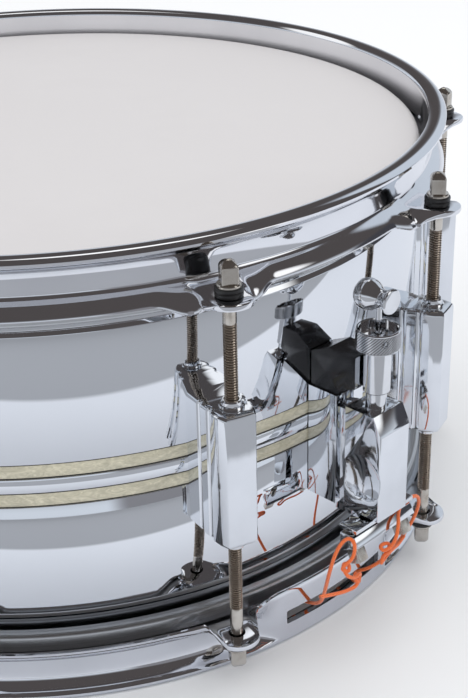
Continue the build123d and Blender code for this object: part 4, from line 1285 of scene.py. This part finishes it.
RIGHT_CORD = [
    (13.0, -156.2, 10.2), (13.1, -159.6, 6.2), (13.3, -165.5, 5.8), (14.0, -172.0, 7.0), (15.0, -181.0, 10.6),
    (16.5, -189.0, 14.0), (20.0, -196.0, 21.0), (24.5, -201.5, 32.0), (27.5, -206.0, 43.5), (27.5,
    -208.6, 53.5),
    (23.5, -209.6, 59.25), (15.5, -209.2, 59.25), (8.5, -211.7, 59.25), (4.0, -216.0, 56.2), (1.4,
    -216.4, 49.0),
    (-2.6, -214.0, 45.4), (-3.4, -212.0, 48.0), (0.6, -213.6, 48.6), (1.2, -215.0, 45.0), (-2.0, -213.2,
    43.4),
    (-4.6, -214.6, 41.6), (-3.0, -213.0, 39.6), (0.4, -213.4, 42.4), (5.0, -212.6, 42.6), (10.0, -211.6,
    41.8),
    (15.0, -210.5, 43.0),
]
CORD_DIAMETER = 1.6
SNARE_COUNT = 20


class DRUM_OT_snares(bpy.types.Operator):
    """Build the coiled snare wires, their end plates and the cords"""

    bl_idname = "drum.snares"
    bl_label = "Snares and cords"

    def execute(self, context):
        sizes = context.scene.drum_sizes
        low, high = (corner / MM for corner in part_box("snare_wires"))
        outer = (high.z - low.z) / 2
        pitch = (high.x - low.x - 2 * outer) / (SNARE_COUNT - 1)
        length = high.y - low.y
        wires = coils(
            "snare_coils", "snare_steel", Steps=6, Turns=length / sizes.coil_pitch,
            Radius=(outer - sizes.coil_wire) * MM,
            Height=length * MM, Wire=sizes.coil_wire * MM, Sides=3, Count=SNARE_COUNT,
            Spacing=(pitch * MM, 0.0, 0.0),
        )
        wires.data.transform(
            Matrix.Translation(Vector((low.x + outer, high.y, (low.z + high.z) / 2)) * MM)
            @ Matrix.Rotation(math.radians(90), 4, "X")
        )
        settle(wires, "root", ["snare_wires"])
        softened("end_plates", "snare_end_plates", "root", "snare_steel", 0.15)
        for name, node_name, points in (
            ("cord_left", "snare_cord_left", LEFT_CORD), ("cord_right", "snare_cord_right", RIGHT_CORD),
        ):
            curve = bpy.data.curves.new(name, "CURVE")
            curve.dimensions = "3D"
            curve.bevel_depth = CORD_DIAMETER / 2 * MM
            curve.bevel_resolution = 3
            curve.resolution_u = 10
            curve.use_fill_caps = True
            spline = curve.splines.new("NURBS")
            spline.points.add(len(points) - 1)
            for point, place in zip(spline.points, points):
                point.co = (*(Vector(place) * MM), 1.0)
            spline.order_u = 3
            spline.use_endpoint_u = True
            curve.materials.append(MATERIALS["cord_orange"])
            cord = bpy.data.objects.new(name, curve)
            context.scene.collection.objects.link(cord)
            settle(cord, "snare_clamp", [node_name])
        return {"FINISHED"}


# ---------------------------------------------------------------- stage
# In metres, but for the lens and its sensor, which are in millimetres.
FLOOR_HALF = 6.0
CAMERA_PLACE = (-0.37653, -0.50664, 0.37747)
# Yaw from +Y towards +X, downward pitch and roll, in radians.
CAMERA_TURNS = (math.radians(44.756), 0.467, -0.022)
CAMERA_LENS = 71.885
CAMERA_SENSOR = 36.0


def world_light(scene):
    """Even white light, with a patterned sky of pale and dark zones that only mirror surfaces see."""
    world = bpy.data.worlds.new("Tent")
    scene.world = world
    world.use_nodes = True
    tree = world.node_tree
    tree.nodes.clear()
    out = node(tree, "ShaderNodeOutputWorld", (900, 0))
    direction = node(tree, "ShaderNodeTexCoord", (-900, 0))
    link = tree.links.new

    def zone(axis, start, end, place):
        """A mask that rises from 0 to 1 as the direction nears an axis."""
        dot = node(tree, "ShaderNodeVectorMath", place, operation="DOT_PRODUCT")
        dot.inputs[1].default_value = Vector(axis).normalized()
        rise = node(tree, "ShaderNodeMapRange", (place[0] + 180, place[1]), interpolation_type="SMOOTHSTEP")
        rise.inputs["From Min"].default_value = start
        rise.inputs["From Max"].default_value = end
        link(direction.outputs["Generated"], dot.inputs[0])
        link(dot.outputs["Value"], rise.inputs["Value"])
        return rise.outputs["Result"]

    colour = node(tree, "ShaderNodeRGB", (-300, 300)).outputs[0]
    colour.default_value = (0.70, 0.75, 0.82, 1)
    steps = [
        (zone((0, 0, 1), 0.04, 0.28, (-700, 300)), (0.085, 0.076, 0.076, 1)),
        (zone((0.93, 0.12, 0.34), 0.89, 0.93, (-700, 100)), (0.62, 0.68, 0.76, 1)),
        (zone((0.35, -0.8, 0.42), 0.965, 0.990, (-700, -100)), (1.2, 1.2, 1.2, 1)),
        (zone((-0.55, 0.75, 0.30), 0.955, 0.985, (-700, -300)), (1.1, 1.1, 1.1, 1)),
        (zone((0.45, 0.45, 0.80), 0.984, 0.992, (-700, -500)), (1.3, 1.3, 1.3, 1)),
        (zone((0.9, -0.42, 0.0), 0.94, 0.97, (-700, -700)), (0.06, 0.06, 0.07, 1)),
        (zone((-0.15, -0.98, 0.05), 0.95, 0.98, (-700, -900)), (0.25, 0.25, 0.27, 1)),
    ]
    for index, (mask, shade) in enumerate(steps):
        mix = node(tree, "ShaderNodeMix", (-100 + 150 * index, 200), data_type="RGBA")
        link(mask, mix.inputs["Factor"])
        link(colour, mix.inputs[6])
        mix.inputs[7].default_value = shade
        colour = mix.outputs[2]
    mirrored = node(tree, "ShaderNodeBackground", (1000, 300))
    link(colour, mirrored.inputs["Color"])
    soft = node(tree, "ShaderNodeBackground", (900, 100), in_0=(0.99, 0.99, 1.0, 1), in_1=0.94)
    plain = node(tree, "ShaderNodeBackground", (900, -100), in_0=(1, 1, 1, 1), in_1=1.0)
    ray = node(tree, "ShaderNodeLightPath", (900, 500))
    shiny = node(tree, "ShaderNodeMixShader", (1100, 200))
    choose = node(tree, "ShaderNodeMixShader", (1250, 0))
    wire(tree, [
        (ray, "Is Glossy Ray", shiny, 0), (soft, 0, shiny, 1), (mirrored, 0, shiny, 2),
        (ray, "Is Camera Ray", choose, 0), (shiny, 0, choose, 1), (plain, 0, choose, 2),
        (choose, 0, out, "Surface"),
    ])


def area_light(name, place, target, size, power):
    data = bpy.data.lights.new(name, "AREA")
    data.shape = "RECTANGLE"
    data.size, data.size_y = size
    data.energy = power
    lamp = bpy.data.objects.new(name, data)
    lamp.location = place
    lamp.visible_glossy = False
    lamp.rotation_euler = (Vector(target) - Vector(place)).to_track_quat("-Z", "Y").to_euler()
    bpy.context.scene.collection.objects.link(lamp)


def floor_painted_mirror_shade(tree, shader, pale):
    """Paints shade on the floor that only mirror surfaces see: where a mirror surface shows it, the floor is
    tinted bluish and turns grey on the camera side away from the drum.
    """
    where = node(tree, "ShaderNodeTexCoord", (-1300, -200))
    reach = node(tree, "ShaderNodeVectorMath", (-950, -200), operation="DOT_PRODUCT")
    reach.inputs[1].default_value = (0.55, 0.835, 0.0)
    # Painted shade: glossy rays see the floor at 44 % on the camera side beyond about 0.37 m, and at 86 %
    # elsewhere.
    painted_floor_shade = node(tree, "ShaderNodeMapRange", (-750, -200), interpolation_type="SMOOTHSTEP")
    painted_floor_shade.inputs["From Min"].default_value = -0.372
    painted_floor_shade.inputs["From Max"].default_value = -0.350
    painted_floor_shade.inputs["To Min"].default_value = 0.44
    painted_floor_shade.inputs["To Max"].default_value = 0.86
    ray = node(tree, "ShaderNodeLightPath", (-750, 200))
    shade = node(tree, "ShaderNodeMix", (-100, 0), data_type="RGBA", blend_type="MULTIPLY")
    wire(tree, [
        (where, "Object", reach, 0), (reach, "Value", painted_floor_shade, "Value"),
        (ray, "Is Glossy Ray", shade, "Factor"), (pale, "Color", shade, 6),
    ])
    # Painted bluish tint on the floor as mirrors show it.
    tint = node(tree, "ShaderNodeVectorMath", (-500, -200), operation="SCALE")
    tint.inputs[0].default_value = (0.955, 0.98, 1.04)
    wire(tree, [
        (painted_floor_shade, "Result", tint, "Scale"), (tint, "Vector", shade, 7), (shade, 2, shader, "Base Color"),
    ])


class DRUM_OT_stage(bpy.types.Operator):
    """Build the floor, the studio light and the camera"""

    bl_idname = "drum.stage"
    bl_label = "Stage"

    def execute(self, context):
        scene = context.scene
        scene.view_settings.view_transform = "Standard"
        world_light(scene)
        area_light("Key", (0.5, -0.1, 2.2), (0, 0, 0.1), (2.4, 2.4), 16.0)
        area_light("Fill", (-1.4, -0.6, 1.6), (0, 0, 0.1), (1.2, 0.8), 4.0)

        bm = bmesh.new()
        corners = ((-1, -1), (1, -1), (1, 1), (-1, 1))
        bm.faces.new([bm.verts.new((x * FLOOR_HALF, y * FLOOR_HALF, 0)) for x, y in corners])
        mesh = bpy.data.meshes.new("floor")
        bm.to_mesh(mesh)
        bm.free()
        material = bpy.data.materials.new("Floor")
        material.use_nodes = True
        tree = material.node_tree
        shader = tree.nodes["Principled BSDF"]
        shader.inputs["Roughness"].default_value = 0.9
        shader.inputs["Specular IOR Level"].default_value = 0.1
        cloud = node(tree, "ShaderNodeTexNoise", (-500, 0))
        cloud.inputs["Scale"].default_value = 1.5
        ramp = node(tree, "ShaderNodeValToRGB", (-300, 0))
        colour = scene.drum_colours.floor
        ramp.color_ramp.elements[0].color = (*[0.98 * channel for channel in colour], 1)
        ramp.color_ramp.elements[1].color = (*colour, 1)
        tree.links.new(cloud.outputs["Fac"], ramp.inputs["Fac"])
        # Painted shade on the floor, seen only in mirror surfaces.
        floor_painted_mirror_shade(tree, shader, ramp)
        mesh.materials.append(material)
        floor = bpy.data.objects.new("floor", mesh)
        scene.collection.objects.link(floor)

        place = Vector(CAMERA_PLACE)
        yaw, pitch, roll = CAMERA_TURNS
        ahead = Vector((math.sin(yaw) * math.cos(pitch), math.cos(yaw) * math.cos(pitch), -math.sin(pitch)))
        right = Vector((math.cos(yaw), -math.sin(yaw), 0))
        up = right.cross(ahead)
        across = right * math.cos(roll) + up * math.sin(roll)
        upright = up * math.cos(roll) - right * math.sin(roll)
        data = bpy.data.cameras.new("Camera")
        data.lens = CAMERA_LENS
        data.sensor_width = CAMERA_SENSOR
        data.clip_start = 0.01
        camera = bpy.data.objects.new("Camera", data)
        turn = Matrix((across, upright, -ahead)).transposed().to_4x4()
        camera.matrix_world = Matrix.Translation(place) @ turn
        scene.collection.objects.link(camera)
        scene.camera = camera
        return {"FINISHED"}


class DRUM_PT_panel(bpy.types.Panel):
    """Lists the drum's settings and pieces"""

    bl_idname = "DRUM_PT_panel"
    bl_label = "Snare Drum"
    bl_space_type = "VIEW_3D"
    bl_region_type = "UI"
    bl_category = "Snare Drum"

    def draw(self, context):
        layout = self.layout
        for settings in (context.scene.drum_sizes, context.scene.drum_colours):
            box = layout.box()
            for key in settings.__annotations__:
                box.prop(settings, key)
        for operator in OPERATORS:
            layout.operator(operator.bl_idname)


OPERATORS = (
    DRUM_OT_shell,
    DRUM_OT_heads,
    DRUM_OT_hoops,
    DRUM_OT_rods,
    DRUM_OT_lugs,
    DRUM_OT_strainer,
    DRUM_OT_butt_end,
    DRUM_OT_snares,
    DRUM_OT_stage,
)
CLASSES = (DrumSizes, DrumColours, *OPERATORS, DRUM_PT_panel)


def register():
    for cls in CLASSES:
        bpy.utils.register_class(cls)
    bpy.types.Scene.drum_sizes = bpy.props.PointerProperty(type=DrumSizes)
    bpy.types.Scene.drum_colours = bpy.props.PointerProperty(type=DrumColours)


def unregister():
    del bpy.types.Scene.drum_colours
    del bpy.types.Scene.drum_sizes
    for cls in reversed(CLASSES):
        bpy.utils.unregister_class(cls)


def main():
    register()
    make_materials(bpy.context.scene.drum_colours)
    bpy.ops.drum.shell()
    bpy.ops.drum.heads()
    bpy.ops.drum.hoops()
    bpy.ops.drum.rods()
    bpy.ops.drum.lugs()
    bpy.ops.drum.strainer()
    bpy.ops.drum.butt_end()
    bpy.ops.drum.snares()
    bpy.ops.drum.stage()


if __name__ == "__main__":
    main()
